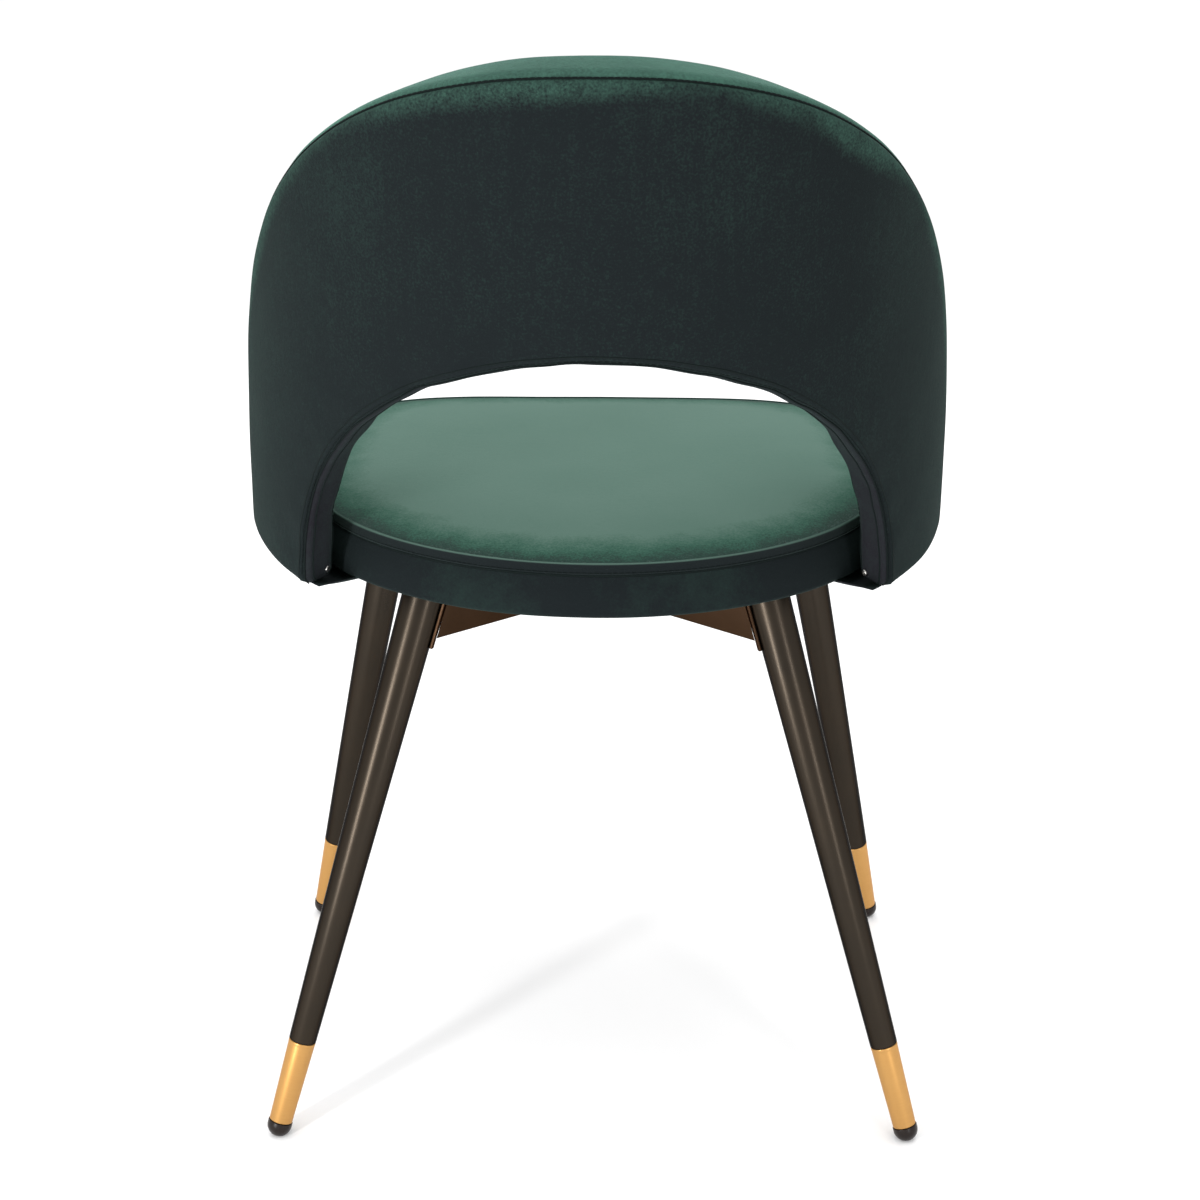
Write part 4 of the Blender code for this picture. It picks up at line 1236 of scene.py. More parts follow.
@made_once("Non-woven lining")
def lining_cloth(name):
    """Non-woven lining: matted fibres, near black."""
    made, tree, shader = new_material(name, roughness=0.9)
    where = object_place(tree)
    matted = cloudy(tree, where, 420.0, 8.0, 0.8)
    dots = add(tree, "ShaderNodeTexVoronoi", {"Vector": where, "Scale": 480.0}).outputs["Distance"]
    shade = sum_up(tree, "MULTIPLY", matted, dots)
    paint(tree, shader, blend(tree, shade, (0.006, 0.006, 0.006), (0.075, 0.075, 0.073)))
    bump(tree, shader, shade, 0.5, 0.0004)
    return made


# ---------------------------------------------------------------- the back's covers


def ring_core(wall, edge):
    """Middle of the wall a little inside an edge, for telling in from out."""

    def core(share):
        thick = wall.thickness(edge(share, 0.0).y)
        return wall.settle(wall.beside(edge, share, thick / 2, -thick / 2), thick / 2, thick)

    return core


class CHAIR_OT_outer_cover(bpy.types.Operator):
    """Cover the rear of the back with one piece of velvet, drawn in at its seams"""

    bl_idname = "chair.outer_cover"
    bl_label = "Outer cover"

    def execute(self, context):
        wall, size = Wall(), back_sizes()
        inside = Vector((0, wall.centre_y, wall.opening_top))
        spot, pillow = panel_point(wall, OUTER), Pillow(0.0007, 0.02)
        shape = {"pucker": CUT_PUCKER, "crest_only": True}
        made = cover_mesh("outer_cover", spot, 2 * size.columns, size.rows, pillow, inside, **shape)
        thicken(made, size.cover)
        finished(made, "back_outer_cover", outer_velvet(), "velvet", ["back_outer_panel"])
        return {"FINISHED"}


class CHAIR_OT_inner_pad(bpy.types.Operator):
    """Cover the hollow side of the back with a padded piece of velvet, swollen as cloth"""

    bl_idname = "chair.inner_pad"
    bl_label = "Inner pad"

    def execute(self, context):
        wall, size = Wall(), back_sizes()
        inside = Vector((0, wall.centre_y + wall.radius * 1.5, wall.opening_top))
        spot, pillow = panel_point(wall, INNER), Pillow(0.0022, 0.03)
        shape = {"pucker": 0.0008, "crest_only": True}
        made = cover_mesh("inner_pad", spot, 2 * size.columns, size.rows, pillow, inside, **shape)
        inflate(made, 4.0, 0.005, 0.006)
        thicken(made, size.cover)
        finished(made, "back_inner_pad", inner_velvet(), "velvet", ["back_inner_panel"])
        return {"FINISHED"}


class CHAIR_OT_edge_bands(bpy.types.Operator):
    """Wrap the top edge and the cut-out with strips of velvet"""

    bl_idname = "chair.edge_bands"
    bl_label = "Edge bands"

    def execute(self, context):
        wall, size = Wall(), back_sizes()
        wide, tall = 2 * size.columns, size.rows // 2
        pillow = Pillow(0.0012, 0.008)
        for name, edge, finish, pucker in (
            ("back_top_edge_band", wall.top_edge, band_velvet(), 0.0003),
            ("back_opening_edge_band", wall.opening_edge, cut_out_velvet(), CUT_PUCKER),
        ):
            inside = ring_core(wall, edge)(0.0)
            made = cover_mesh(name, band_point(wall, edge), wide, tall, pillow, inside, pucker=pucker)
            thicken(made, size.cover)
            finished(made, name.replace("_edge", ""), finish, "velvet", [name])
        return {"FINISHED"}


def wing_foot_point(wall):
    """A function that places the cover that closes a wing's lower end."""
    edges = (wall.opening_edge, wall.top_edge)

    def spot(share, across):
        thick = wall.size.thin
        depth = thick * (0.02 + 0.96 * across)
        low, high = (wall.beside(edge, 1.0, depth, 0.0) for edge in edges)
        arc = low.x + (high.x - low.x) * share
        here = wall.settle(Vector((arc, wall.wing_foot(arc))), depth, thick)
        return here - Vector((0, 0, 0.0003))

    return spot


class CHAIR_OT_wing_feet(bpy.types.Operator):
    """Close the lower ends of the wings, and tuck the velvet under the seat"""

    bl_idname = "chair.wing_feet"
    bl_label = "Wing feet"

    def execute(self, context):
        wall, size = Wall(), back_sizes()
        for side, word in ((1, "left"), (-1, "right")):
            inside = Vector((side * wall.radius, wall.centre_y, wall.foot + 0.1))
            pillow = Pillow(0.0012, 0.006, tuck=0.0008)
            made = cover_mesh(f"foot_{word}", wing_foot_point(wall), 40, 14, pillow, inside, sides=(side,))
            thicken(made, size.cover)
            stands_for = [f"back_bottom_panel_{word}"]
            finished(made, f"back_wing_foot_{word}", cut_out_velvet(), "velvet", stands_for)
            made = tuck_mesh(wall, side, word)
            finished(made, f"wing_tuck_{word}", cut_out_velvet(), "velvet")
        return {"FINISHED"}


TUCK_FROM, TUCK_TO = math.radians(50.5), math.radians(86)  # round the wall
TUCK_DEPTH, TUCK_REACH = 0.006, 0.072  # from the outer face
TUCK_DROP = 0.0078  # under the bracket


def tuck_mesh(wall, side, word):
    """Velvet carried from a wing's foot under the seat, over the bracket."""

    def spot(share, across):
        arc = wall.radius * (TUCK_FROM + (TUCK_TO - TUCK_FROM) * share)
        depth = TUCK_DEPTH + (TUCK_REACH - TUCK_DEPTH) * across
        here = wall.point(arc, wall.foot, depth)
        rise = (wall.wing_foot(arc) - wall.foot + 0.0006) * max(1 - across / 0.45, 0) ** 0.7
        belly = (1 - abs(2 * share - 1) ** 6) * (1 - abs(2 * across - 1) ** 3.2)
        here.z = wall.foot - 0.0009 + rise * (1 - belly) - (TUCK_DROP - 0.0009) * belly
        return here

    middle = wall.point(wall.radius * (TUCK_FROM + TUCK_TO) / 2, wall.foot + 0.1, TUCK_REACH / 2)
    inside = Vector((side * middle.x, middle.y, middle.z))
    made = cover_mesh(f"tuck_{word}", spot, 44, 24, Pillow(0.0004, 0.01, tuck=0.0), inside, sides=(side,))
    return thicken(made, 0.0007)


class CHAIR_OT_back_sewing(bpy.types.Operator):
    """Close the back's seams, and stitch beside them round the crest and the cut-out"""

    bl_idname = "chair.back_sewing"
    bl_label = "Back sewing"

    def execute(self, context):
        wall = Wall()
        crest_band, cut_band = band_point(wall, wall.top_edge), band_point(wall, wall.opening_edge)
        outer, inner = panel_point(wall, OUTER), panel_point(wall, INNER)
        core_top, core_cut = ring_core(wall, wall.top_edge), ring_core(wall, wall.opening_edge)
        for name, spot, across, core, pucker, lift in (
            ("crest_seam_outer", crest_band, 0.0, core_top, 0.0, SEAM_LIFT),
            ("crest_seam_inner", crest_band, 1.0, core_top, 0.0, SEAM_LIFT),
            ("cut_out_seam_outer", cut_band, 0.0, core_cut, CUT_PUCKER, SEAM_LIFT),
            ("cut_out_seam_inner", cut_band, 1.0, core_cut, CUT_PUCKER, SEAM_LIFT),
            ("cut_out_topstitch_outer", outer, 0.030, core_cut, CUT_PUCKER * 0.6, 0.0),
            ("cut_out_topstitch_band", cut_band, 0.22, core_cut, CUT_PUCKER * 0.7, 0.0007),
        ):
            line = seam_line(spot, across, 300, lift, core, (-0.999, 0.999), pucker)
            crease(name, line, 0.0006)
        for name, spot, across, core, pucker, lift in (
            ("crest_stitches_outer", crest_band, 0.014, core_top, 0.0, -0.0004),
            ("crest_stitches_inner", crest_band, 0.986, core_top, 0.0, -0.0004),
            ("cut_out_stitches_outer", outer, 0.012, core_cut, CUT_PUCKER * 0.8, -0.0001),
            ("cut_out_stitches_inner", inner, 0.012, core_cut, 0.0006, 0.0),
        ):
            line = seam_line(spot, across, 900, lift, core, (-0.98, 0.98), pucker)
            sew(name, line, THREAD_RADIUS)
        return {"FINISHED"}


# ---------------------------------------------------------------- the seat


def seat_outline(angle, inset):
    """The seat's outline at this plan angle, from the sitter's left round by the rear."""
    size = seat_sizes()
    across, forward = size.radius - inset, size.front - inset
    c, s = math.cos(angle), math.sin(angle)
    centre = SEAT_BAND_LOW.y + size.front
    if s >= 0:
        return across * c, centre + across * s
    power = 2 / size.squareness
    return math.copysign(abs(c) ** power, c) * across, centre - forward * abs(s) ** power


def ring_mesh(name, profile, around, closed_centre, pillow=None, rim=0):
    """A sheet through rings of (inset, height), facing out and up, with its distances from the start."""
    bm = new_cloth()
    seam, glow = bm.verts.layers.float["seam"], bm.verts.layers.float["glow"]
    rings = []
    runs = {}
    run = 0.0
    start = sum(math.dist(one, other) for one, other in zip(profile[:rim], profile[1 : rim + 1]))
    for k, (inset, height) in enumerate(profile):
        if k:
            run += math.hypot(inset - profile[k - 1][0], height - profile[k - 1][1])
        ring = []
        for i in range(around):
            angle = 2 * math.pi * i / around
            vert = bm.verts.new((*seat_outline(angle, inset), height))
            vert[seam] = run
            vert[glow] = run - start
            runs[vert] = (angle * 0.22, run)
            ring.append(vert)
        rings.append(ring)
    for low, high in zip(rings, rings[1:]):
        for i in range(around):
            j = (i + 1) % around
            bm.faces.new((low[i], low[j], high[j], high[i]))
    if closed_centre:
        last = rings[-1]
        middle = bm.verts.new(sum((vert.co for vert in last), Vector()) / around)
        middle[seam] = run
        middle[glow] = run - start
        runs[middle] = (0.0, run)
        for i in range(around):
            bm.faces.new((last[i], last[(i + 1) % around], middle))
    bm.normal_update()
    for vert in bm.verts:
        step = ripple(vert.co, 0.06, 0.0004)
        if pillow:
            step += pillow.offset(min(vert[seam], run - vert[seam]))
        vert.co += vert.normal * step
    lay_flat(bm, runs)
    return object_from(bm, name)


class CHAIR_OT_seat_pad(bpy.types.Operator):
    """Stretch velvet over the seat, with a turned ridge along its rim and a strip down to the seam"""

    bl_idname = "chair.seat_pad"
    bl_label = "Seat pad"

    def execute(self, context):
        size = seat_sizes()
        strip = [(size.taper + 0.0016, size.seam + 0.0003), (size.taper + 0.0004, size.seam + 0.0010)]
        for k in range(1, 6):
            height = size.seam + 0.0010 + (size.rim - size.seam - 0.0026) * k / 5
            strip.append((size.taper + 0.0004 * (k / 5), height))
        ridge = []
        middle = Vector((size.taper + 0.0014, size.rim - 0.0008))
        for k in range(7):
            angle = math.radians(195 - 32 * k)
            ridge.append((middle.x + size.ridge * math.cos(angle), middle.y + size.ridge * math.sin(angle)))
        crown = []
        reach = size.radius - size.taper - 0.012
        start = ridge[-1][0] + 0.0004
        for k in range(44):
            inset = start + (reach - start) * (k / 43) ** 1.7
            rise = (size.crown - size.rim) * (1 - math.exp(-(inset - size.taper) / size.crown_spread))
            crown.append((inset, size.rim - 0.0012 + rise))
        made = ring_mesh("seat_pad", strip + ridge + crown, size.around, True, rim=len(strip) + 3)
        inflate(made, 3.0, 0.004, 0.016)
        thicken(made, back_sizes().cover)
        finished(made, "seat_pad_cover", seat_velvet(), "velvet", ["seat_top_panel"])
        return {"FINISHED"}


class CHAIR_OT_seat_side(bpy.types.Operator):
    """Wrap the seat's side with velvet, sewn to the top cover and turned under the board"""

    bl_idname = "chair.seat_side"
    bl_label = "Seat side"

    def execute(self, context):
        size = seat_sizes()
        low = size.underside - 0.0011
        roll = 0.003
        profile = [(size.fold, low)]
        for k in range(1, 5):
            profile.append((size.fold + (roll - size.fold) * k / 4, low))
        for k in range(1, 7):
            angle = math.pi / 2 * k / 6
            profile.append((roll - roll * math.sin(angle), low + roll * (1 - math.cos(angle))))
        foot = low + roll
        for k in range(1, 17):
            share = gather(k / 16)
            bulge = 0.0012 * math.sin(math.pi * share)
            profile.append((size.taper * share - bulge, foot + (size.seam - 0.0004 - foot) * share))
        profile.append((size.taper + 0.0014, size.seam - 0.0001))
        made = ring_mesh("seat_side", profile, size.around, False)
        thicken(made, 0.0010)
        finished(made, "seat_side_cover", boxing_velvet(), "velvet", ["seat_side_band"])

        line = []
        for i in range(1201):
            angle = 2 * math.pi * i / 1200
            here = Vector((*seat_outline(angle, size.taper - 0.0001), size.seam + 0.0024))
            ahead = Vector((*seat_outline(angle + 0.01, size.taper), size.seam + 0.0024))
            run = ahead - here
            line.append((here, Vector((run.y, -run.x, 0)).normalized()))
        sew("seat_stitches", line, SEAT_THREAD_RADIUS)
        fold = [(here - normal * 0.0012 - Vector((0, 0, 0.0022)), normal) for here, normal in line[:-1:3]]
        crease("seat_seam", fold, 0.0012, closed=True)
        return {"FINISHED"}


class CHAIR_OT_seat_lining(bpy.types.Operator):
    """Close the seat's underside with a stapled lining"""

    bl_idname = "chair.seat_lining"
    bl_label = "Seat lining"

    def execute(self, context):
        size = seat_sizes()
        low, high = (corner.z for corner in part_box("seat_dust_cover"))
        start = size.fold + 0.0003
        profile = [(start, high), (start, low + 0.0001), (start + 0.0006, low), (start + 0.008, low)]
        profile += [(start + 0.010, low + 0.00025)]
        profile += [(start + 0.010 + 0.18 * k / 10, low + 0.00025) for k in range(1, 11)]
        made = ring_mesh("lining", profile, 120, True)
        edit(made)
        select_everything()
        bpy.ops.mesh.flip_normals()
        leave_edit()
        thicken(made, 0.0003)
        finished(made, "seat_lining", lining_cloth(), "lining", ["seat_dust_cover"])

        deselect()
        bpy.ops.mesh.primitive_cube_add(size=1.0)
        staple = bpy.context.object
        edit(staple)
        select_everything()
        bpy.ops.transform.resize(value=(0.0095, 0.0009, 0.0005), center_override=(0, 0, 0))
        bpy.ops.mesh.bevel(offset=0.00018, segments=1)
        leave_edit()
        staples = []
        count = 46
        for i in range(count):
            angle = 2 * math.pi * (i + 0.5) / count
            here = Vector((*seat_outline(angle, start + 0.004), low - 0.0001))
            ahead = Vector((*seat_outline(angle + 0.02, start + 0.004), here.z))
            one = copy_of(staple, f"staple_{i}")
            place(one, frame_at(here, (0, 0, 1), ahead - here))
            staples.append(one)
        bpy.data.objects.remove(staple)
        finished(join(staples, "seat_staples"), "seat_staples", zinc_plate(), "zinc")
        return {"FINISHED"}


# ---------------------------------------------------------------- legs and cross frame


class Leg:
    """One leg's axis. Distances along it count from the middle of the glide's dome."""

    def __init__(self, word):
        size = leg_sizes()
        front = word.startswith("front")
        side = 1 if word.endswith("left") else -1
        foot, splay = (size.front_foot, size.front_splay) if front else (size.rear_foot, size.rear_splay)
        dome = math.sqrt(size.glide_radius**2 - size.glide_flat**2)
        shift = SEAT_BAND_LOW.y + seat_sizes().front
        self.foot = Vector((foot[0] * side, foot[1] + shift, dome))
        self.up = Vector((-splay[0] * side, splay[1] * (1 if front else -1), 1.0)).normalized()
        self.length = (size.top - dome) / self.up.z
        self.ferrule_foot = size.glide_collar + size.gap
        self.tube_foot = self.ferrule_foot + size.ferrule + size.gap

    def at(self, along):
        return self.foot + self.up * along

    def at_height(self, height):
        return self.at((height - self.foot.z) / self.up.z)

    def frame(self, towards=(0, 1, 0)):
        return frame_at(self.foot, self.up, towards)

    def radius(self, along):
        size = leg_sizes()
        share = (along - self.tube_foot) / (self.length - self.tube_foot)
        return size.foot_radius + (size.top_radius - size.foot_radius) * share


LEG_WORDS = ("front_left", "rear_right", "front_right", "rear_left")


def cylinder(radius, depth, low, sides=72):
    """A cylinder that stands on a height, left in edit mode."""
    deselect()
    centre = (0, 0, low + depth / 2)
    bpy.ops.mesh.primitive_cylinder_add(vertices=sides, radius=radius, depth=depth, location=centre)
    made = bpy.context.object
    bpy.ops.object.transform_apply(location=True, rotation=True, scale=True)
    edit(made)
    return made


def scale_ring(obj, height, factor):
    choose(obj, "VERT", lambda vert: abs(vert.co.z - height) < NEAR)
    bpy.ops.transform.resize(value=(factor, factor, 1), center_override=(0, 0, height))


class CHAIR_OT_legs(bpy.types.Operator):
    """Turn the four tapered tubes with rolled upper mouths"""

    bl_idname = "chair.legs"
    bl_label = "Leg tubes"

    def execute(self, context):
        size = leg_sizes()
        for word in LEG_WORDS:
            leg = Leg(word)
            low, high = leg.tube_foot, leg.length
            made = cylinder(size.foot_radius, high - low, low)
            scale_ring(made, high, size.top_radius / size.foot_radius)
            choose(made, "FACE", lambda face: face.normal.z > 0.9)
            bpy.ops.mesh.inset(thickness=size.wall)
            extrude(-0.03)
            for end in (high, low):
                bevel_ring(made, end, 0.0005, 3)
            cut((0, 0, (low + high) / 2), (0, 0, 1), keep_both=True)
            leave_edit()
            smooth(made, 30)
            place(made, leg.frame())
            finished(made, f"leg_{word}", leg_paint(), "black_steel", [f"leg_tube_{word}"])
        return {"FINISHED"}


class CHAIR_OT_ferrules(bpy.types.Operator):
    """Form the four brass sleeves, each with a rolled lip"""

    bl_idname = "chair.ferrules"
    bl_label = "Ferrules"

    def execute(self, context):
        size = leg_sizes()
        lip = 0.0016
        for word in LEG_WORDS:
            leg = Leg(word)
            low, high = leg.ferrule_foot, leg.ferrule_foot + size.ferrule
            made = cylinder(size.tip_radius, size.ferrule, low)
            scale_ring(made, high, size.foot_radius / size.tip_radius)
            for height, factor in ((high - lip, 1.0), (high - lip * 1.5, 0.988), (high - lip * 2, 1.0)):
                cut((0, 0, height), (0, 0, 1), keep_both=True)
                scale_ring(made, height, factor)
            for end in (low, high):
                bevel_ring(made, end, 0.0006, 4)
            leave_edit()
            smooth(made, 30)
            place(made, leg.frame())
            finished(made, f"brass_sleeve_{word}", brass_plate(), "gold", [f"ferrule_{word}"])
        return {"FINISHED"}


class CHAIR_OT_glides(bpy.types.Operator):
    """Mould the four domed feet"""

    bl_idname = "chair.glides"
    bl_label = "Glides"

    def execute(self, context):
        size = leg_sizes()
        for word in LEG_WORDS:
            leg = Leg(word)
            deselect()
            bpy.ops.mesh.primitive_uv_sphere_add(segments=48, ring_count=24, radius=size.glide_radius)
            made = bpy.context.object
            edit(made)
            waist = 1e-4
            cut((0, 0, waist), (0, 0, 1))
            choose(made, "FACE", lambda face: face.normal.z > 0.99 and face.calc_center_median().z > 0)
            extrude(size.glide_collar - waist)
            bpy.ops.mesh.inset(thickness=0.0006)
            bpy.ops.mesh.inset(thickness=0.0016)
            extrude(0.010)
            top, rim = size.glide_collar, size.glide_radius - 1e-4

            def on_rim(edge):
                return all(abs(vert.co.z - top) < NEAR and vert.co.xy.length > rim for vert in edge.verts)

            choose(made, "EDGE", on_rim)
            bpy.ops.mesh.bevel(offset=0.0004, segments=3)
            leave_edit()
            place(made, leg.frame())
            edit(made)
            cut((0, 0, 0), (0, 0, -1))
            leave_edit()
            smooth(made, 30)
            finished(made, f"foot_{word}", glide_plastic(), "black_plastic", [f"glide_{word}"])
        return {"FINISHED"}


class CHAIR_OT_cross_frame(bpy.types.Operator):
    """Round the edges of the folded channels, the saddles and the brackets"""

    bl_idname = "chair.cross_frame"
    bl_label = "Cross frame"

    def execute(self, context):
        rails = ("cross_rail_long", "cross_rail_short_front", "cross_rail_short_rear")
        saddles = tuple(f"leg_saddle_{word}" for word in LEG_WORDS)
        brackets = ("back_bracket_left", "back_bracket_right")
        for node in rails + saddles + brackets:
            made = softened_copy(node, 0.0006)
            finished(made, f"{node}_finished", rail_paint(), "black_steel", [node])
        return {"FINISHED"}


def bolt_model(name, head_radius, head_height, shank_radius, shank_length, socket):
    """A button-head screw with a hexagon socket, standing on Z = 0 with its shank downwards."""
    made = cylinder(head_radius, head_height, 0.0, sides=36)
    bevel_ring(made, head_height, head_height * 0.55, 5)
    choose(made, "FACE", lambda face: face.normal.z < -0.9)
    bpy.ops.mesh.inset(thickness=head_radius - shank_radius)
    extrude(-shank_length)
    leave_edit()
    deselect()
    bpy.ops.mesh.primitive_cylinder_add(
        vertices=6, radius=socket, depth=head_height, location=(0, 0, head_height * 0.95)
    )
    cutter = bpy.context.object
    edit(cutter)
    choose(cutter, "FACE", lambda face: face.normal.z < -0.9)
    bpy.ops.mesh.inset(thickness=socket * 0.5)
    bpy.ops.transform.translate(value=(0, 0, -head_height * 0.08))
    leave_edit()
    apply_modifier(made, "BOOLEAN", object=cutter, operation="DIFFERENCE", solver="EXACT")
    bpy.data.objects.remove(cutter)
    smooth(made, 30)
    made.name = name
    return made


M6_HEAD, WOOD_SCREW_HEAD = 0.0033, 0.0024  # heights of the fasteners' heads


def fasten(model, node, where, ending):
    """Puts a copy of a fastener in place of a CAD node."""
    made = copy_of(model, node)
    place(made, where)
    finished(made, f"{node}_{ending}", zinc_plate(), "zinc", [node])


def head_under(node, head):
    """Where an upright fastener's head bears, with its shank upwards."""
    low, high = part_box(node)
    spot = Vector(((low.x + high.x) / 2, (low.y + high.y) / 2, low.z + head))
    return frame_at(spot, (0, 0, -1), (1, 0, 0))


def cross_middle():
    """Where the diagonals of the cross frame pass, at mid height of the channels."""
    height = (RAIL_LOW.z + RAIL_HIGH.z) / 2
    front, rear = (Leg(word).at_height(height) for word in ("front_left", "rear_right"))
    return front.lerp(rear, front.x / (front.x - rear.x))


class CHAIR_OT_fasteners(bpy.types.Operator):
    """Make the bolts and screws, with sockets in their heads"""

    bl_idname = "chair.fasteners"
    bl_label = "Fasteners"

    def execute(self, context):
        size = leg_sizes()
        model = bolt_model("m6", 0.0055, M6_HEAD, 0.003, 0.010, 0.0022)
        middle = cross_middle()
        bolt_from_top, pitch = 0.017, 0.022
        for word in LEG_WORDS:
            leg = Leg(word)
            towards = middle - leg.at_height(middle.z)
            axis = leg.frame(towards)
            slope = math.atan2(size.top_radius - size.foot_radius, leg.length - leg.tube_foot)
            for number in (1, 2):
                along = leg.length - bolt_from_top - pitch * (number - 1)
                stand = leg.radius(along) + size.saddle + 2 * size.gap
                where = axis @ frame_at((stand, 0, along), (math.cos(slope), 0, -math.sin(slope)), (0, 1, 0))
                fasten(model, f"leg_bolt_{word}_{number}", where, "button_head")
            node = f"seat_bolt_{word}"
            fasten(model, node, head_under(node, M6_HEAD), "button_head")
        bpy.data.objects.remove(model)

        model = bolt_model("wood_screw", 0.0045, WOOD_SCREW_HEAD, 0.0022, 0.008, 0.0016)
        for side, word in ((1, "left"), (-1, "right")):
            for end in ("a", "b"):
                node = f"bracket_seat_screw_{word}_{end}"
                fasten(model, node, head_under(node, WOOD_SCREW_HEAD), "socket_head")
            wall = Wall()
            spot = band_point(wall, wall.opening_edge)
            along, across = 0.983, 0.74
            here, ahead = spot(along, across), spot(along + 0.01, across)
            over = spot(along, across + 0.05) - spot(along, across - 0.05)
            normal = (ahead - here).cross(over).normalized()
            if normal.dot(here - ring_core(wall, wall.opening_edge)(along)) < 0:
                normal.negate()
            here = here + normal * 0.0011
            here.x *= side
            normal.x *= side
            one = copy_of(model, f"wing_screw_{word}")
            place(one, frame_at(here, normal, (0, 0, 1)) @ Matrix.Scale(0.55, 4))
            finished(one, f"wing_screw_{word}", zinc_plate(), "zinc")
        bpy.data.objects.remove(model)
        return {"FINISHED"}


class CHAIR_OT_wing_corners(bpy.types.Operator):
    """Cut the shell's and the foams' lower front corners back under the rounded covers"""

    bl_idname = "chair.wing_corners"
    bl_label = "Wing corners"

    def execute(self, context):
        wall, size = Wall(), back_sizes()
        corner = wall.point(wall.edge_arc, wall.wing_foot(wall.edge_arc), 0.0)
        behind = corner + Vector((0.0, size.corner_round, 0.0))
        low = wall.point(wall.opening_arc, wall.foot + 0.003, 0.0)
        slope = size.wing_lift / (low.y - corner.y)
        for node, finish, slot in (
            ("back_plywood_shell", plywood(), "plywood"),
            ("back_inner_foam", foam(), "foam"),
            ("back_outer_foam", foam(), "foam"),
        ):
            made = loose_copy(node)
            cut(behind, (0, -1, -1))
            cut(low, (0, -slope, -1))
            leave_edit()
            smooth(made, 35)
            finished(made, f"{node}_trimmed", finish, slot, [node])
        return {"FINISHED"}


class CHAIR_OT_hidden_parts(bpy.types.Operator):
    """Give the parts inside the upholstery their own finishes"""

    bl_idname = "chair.hidden_parts"
    bl_label = "Hidden parts"

    def execute(self, context):
        inner = [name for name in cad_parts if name.startswith(("t_nut", "bracket_back_screw"))]
        for finish, nodes in ((foam(), ["seat_foam"]), (plywood(), ["seat_board"]), (zinc_plate(), inner)):
            for node in nodes:
                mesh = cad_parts[node].data
                mesh.materials.clear()
                mesh.materials.append(finish)
        return {"FINISHED"}


# ---------------------------------------------------------------- studio


AIM_SEAT, AIM_LEGS = 0.45, 0.46
LAMPS = (  # name, place, height aimed at, width, height and watts
    ("overhead", (0.0, 0.1, 2.4), AIM_SEAT, 1.8, 1.8, 16.0),
    ("strip_left", (1.05, 1.30, 0.46), AIM_LEGS, 0.09, 0.9, 17.0),
    ("strip_right", (-0.85, 1.40, 0.46), AIM_LEGS, 0.05, 0.9, 5.0),
    ("front_fill", (0.0, -2.2, 1.3), AIM_SEAT, 1.6, 1.0, 10.0),
)


def soft_light(name, where, aim, wide, tall, power):
    lamp = bpy.data.lights.new(name, "AREA")
    lamp.shape = "RECTANGLE"
    lamp.size, lamp.size_y = wide, tall
    lamp.energy = power
    made = bpy.data.objects.new(name, lamp)
    bpy.context.scene.collection.objects.link(made)
    made.location = where
    made.rotation_euler = (Vector((0, 0, aim)) - Vector(where)).to_track_quat("-Z", "Y").to_euler()


def floor_paint():
    made, tree, shader = new_material("Pale floor", roughness=0.85, specular_ior_level=0.1)
    where = object_place(tree)
    paint(tree, shader, blend(tree, cloudy(tree, where, 0.6, 3.0), (0.97, 0.97, 0.97), (0.955, 0.955, 0.958)))
    return made


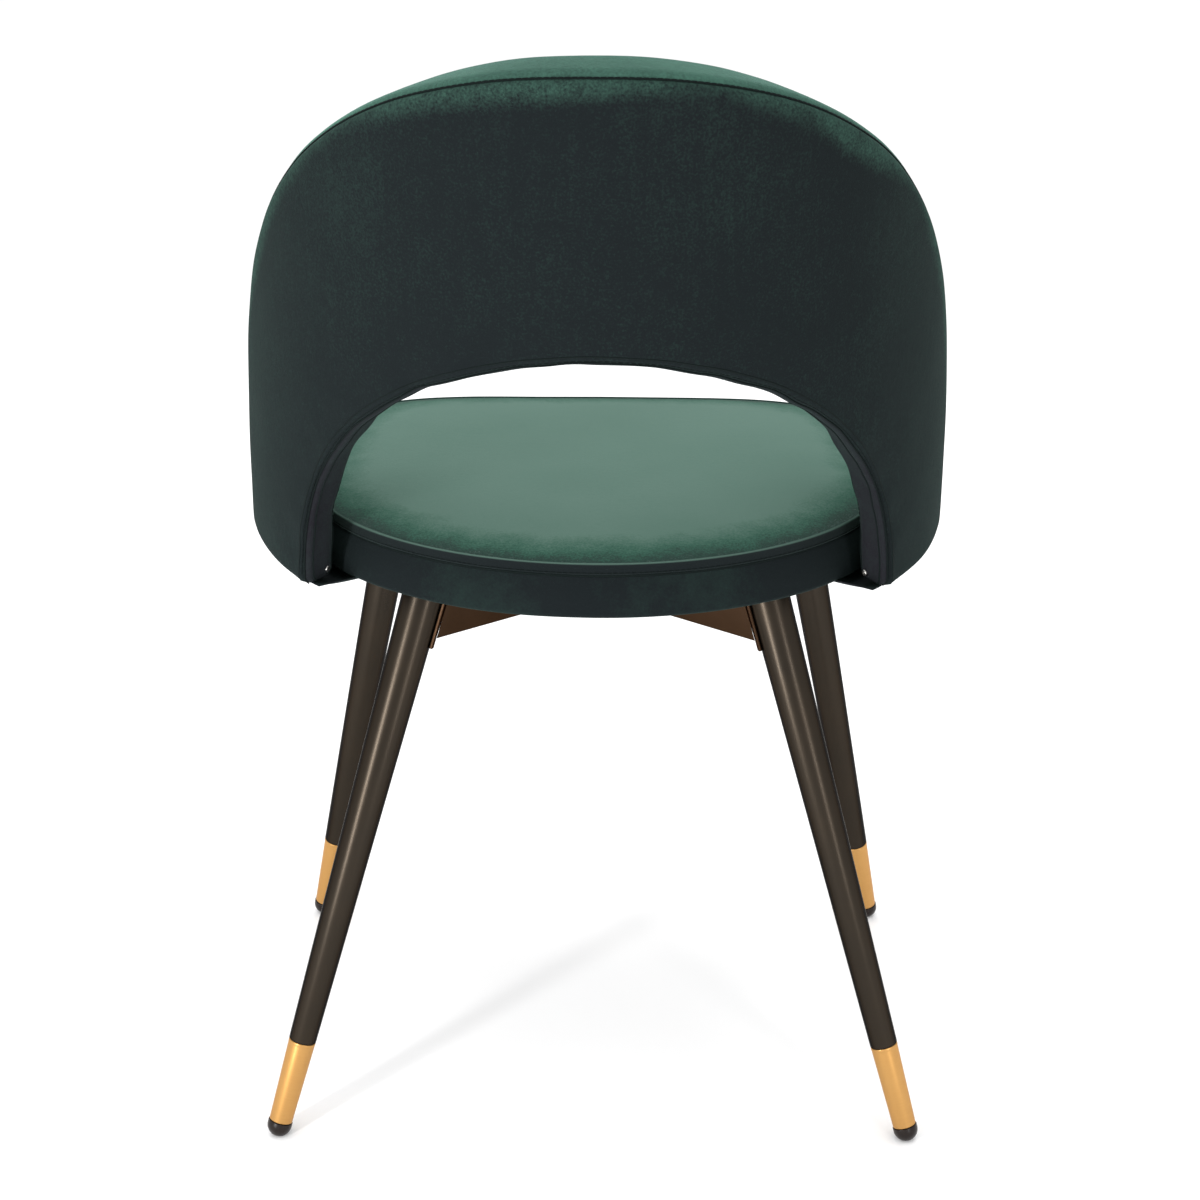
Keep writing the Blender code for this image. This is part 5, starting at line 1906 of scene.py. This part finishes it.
class CHAIR_OT_stage(bpy.types.Operator):
    """Lay a pale floor, set soft lights and stand the camera behind the chair"""

    bl_idname = "chair.stage"
    bl_label = "Studio"

    def execute(self, context):
        studio, scene = context.scene.chair_studio, context.scene
        deselect()
        bpy.ops.mesh.primitive_plane_add(size=studio.floor)
        floor = bpy.context.object
        floor.name = "floor"
        edit(floor)
        select_everything()
        bpy.ops.mesh.subdivide(number_cuts=8)
        leave_edit()
        floor.data.materials.append(floor_paint())

        world = bpy.data.worlds.new("pale_surround")
        world.use_nodes = True
        glow = world.node_tree.nodes["Background"].inputs
        glow["Color"].default_value = (1.0, 1.0, 1.0, 1.0)
        glow["Strength"].default_value = studio.sky
        scene.world = world
        for lamp in LAMPS:
            soft_light(*lamp)

        lens = bpy.data.cameras.new("camera")
        lens.sensor_width = 36.0
        lens.lens = studio.lens
        lens.shift_y = studio.shift
        lens.clip_start, lens.clip_end = 0.05, 200.0
        camera = bpy.data.objects.new("camera", lens)
        scene.collection.objects.link(camera)
        level = math.cos(studio.pitch)
        ahead = Vector((math.sin(studio.yaw) * level, -math.cos(studio.yaw) * level, -math.sin(studio.pitch)))
        right = Vector((-math.cos(studio.yaw), -math.sin(studio.yaw), 0.0))
        up = right.cross(ahead)
        turned_right = math.cos(studio.roll) * right + math.sin(studio.roll) * up
        turned_up = math.cos(studio.roll) * up - math.sin(studio.roll) * right
        rotation = Matrix((turned_right, turned_up, -ahead)).transposed()
        camera.matrix_world = Matrix.Translation(studio.eye) @ rotation.to_4x4()
        scene.camera = camera
        scene.view_settings.view_transform = "Standard"
        return {"FINISHED"}


PIECES = (
    CHAIR_OT_outer_cover,
    CHAIR_OT_inner_pad,
    CHAIR_OT_edge_bands,
    CHAIR_OT_wing_feet,
    CHAIR_OT_back_sewing,
    CHAIR_OT_seat_pad,
    CHAIR_OT_seat_side,
    CHAIR_OT_seat_lining,
    CHAIR_OT_legs,
    CHAIR_OT_ferrules,
    CHAIR_OT_glides,
    CHAIR_OT_cross_frame,
    CHAIR_OT_fasteners,
    CHAIR_OT_wing_corners,
    CHAIR_OT_hidden_parts,
    CHAIR_OT_stage,
)


class CHAIR_PT_build(bpy.types.Panel):
    """Lists the chair's sizes, colours and pieces."""

    bl_idname = "CHAIR_PT_build"
    bl_label = "Dining chair"
    bl_space_type = "VIEW_3D"
    bl_region_type = "UI"
    bl_category = "Chair"

    def draw(self, context):
        for name in PROPERTY_GROUPS:
            box = self.layout.box()
            group_values = getattr(context.scene, name)
            box.label(text=name.replace("chair_", "").title())
            for key in group_values.bl_rna.properties.keys():
                if key not in ("rna_type", "name"):
                    box.prop(group_values, key)
        for piece in PIECES:
            self.layout.operator(piece.bl_idname)


PROPERTY_GROUPS = {
    "chair_back": BackSizes,
    "chair_seat": SeatSizes,
    "chair_legs": LegSizes,
    "chair_colours": Colours,
    "chair_studio": Studio,
}


def register():
    for name, kind in PROPERTY_GROUPS.items():
        bpy.utils.register_class(kind)
        setattr(bpy.types.Scene, name, PointerProperty(type=kind))
    for piece in PIECES:
        bpy.utils.register_class(piece)
    bpy.utils.register_class(CHAIR_PT_build)


def unregister():
    bpy.utils.unregister_class(CHAIR_PT_build)
    for piece in reversed(PIECES):
        bpy.utils.unregister_class(piece)
    for name, kind in reversed(PROPERTY_GROUPS.items()):
        delattr(bpy.types.Scene, name)
        bpy.utils.unregister_class(kind)


def main():
    register()
    for piece in PIECES:
        section, action = piece.bl_idname.split(".")
        getattr(getattr(bpy.ops, section), action)()


if __name__ == "__main__":
    main()
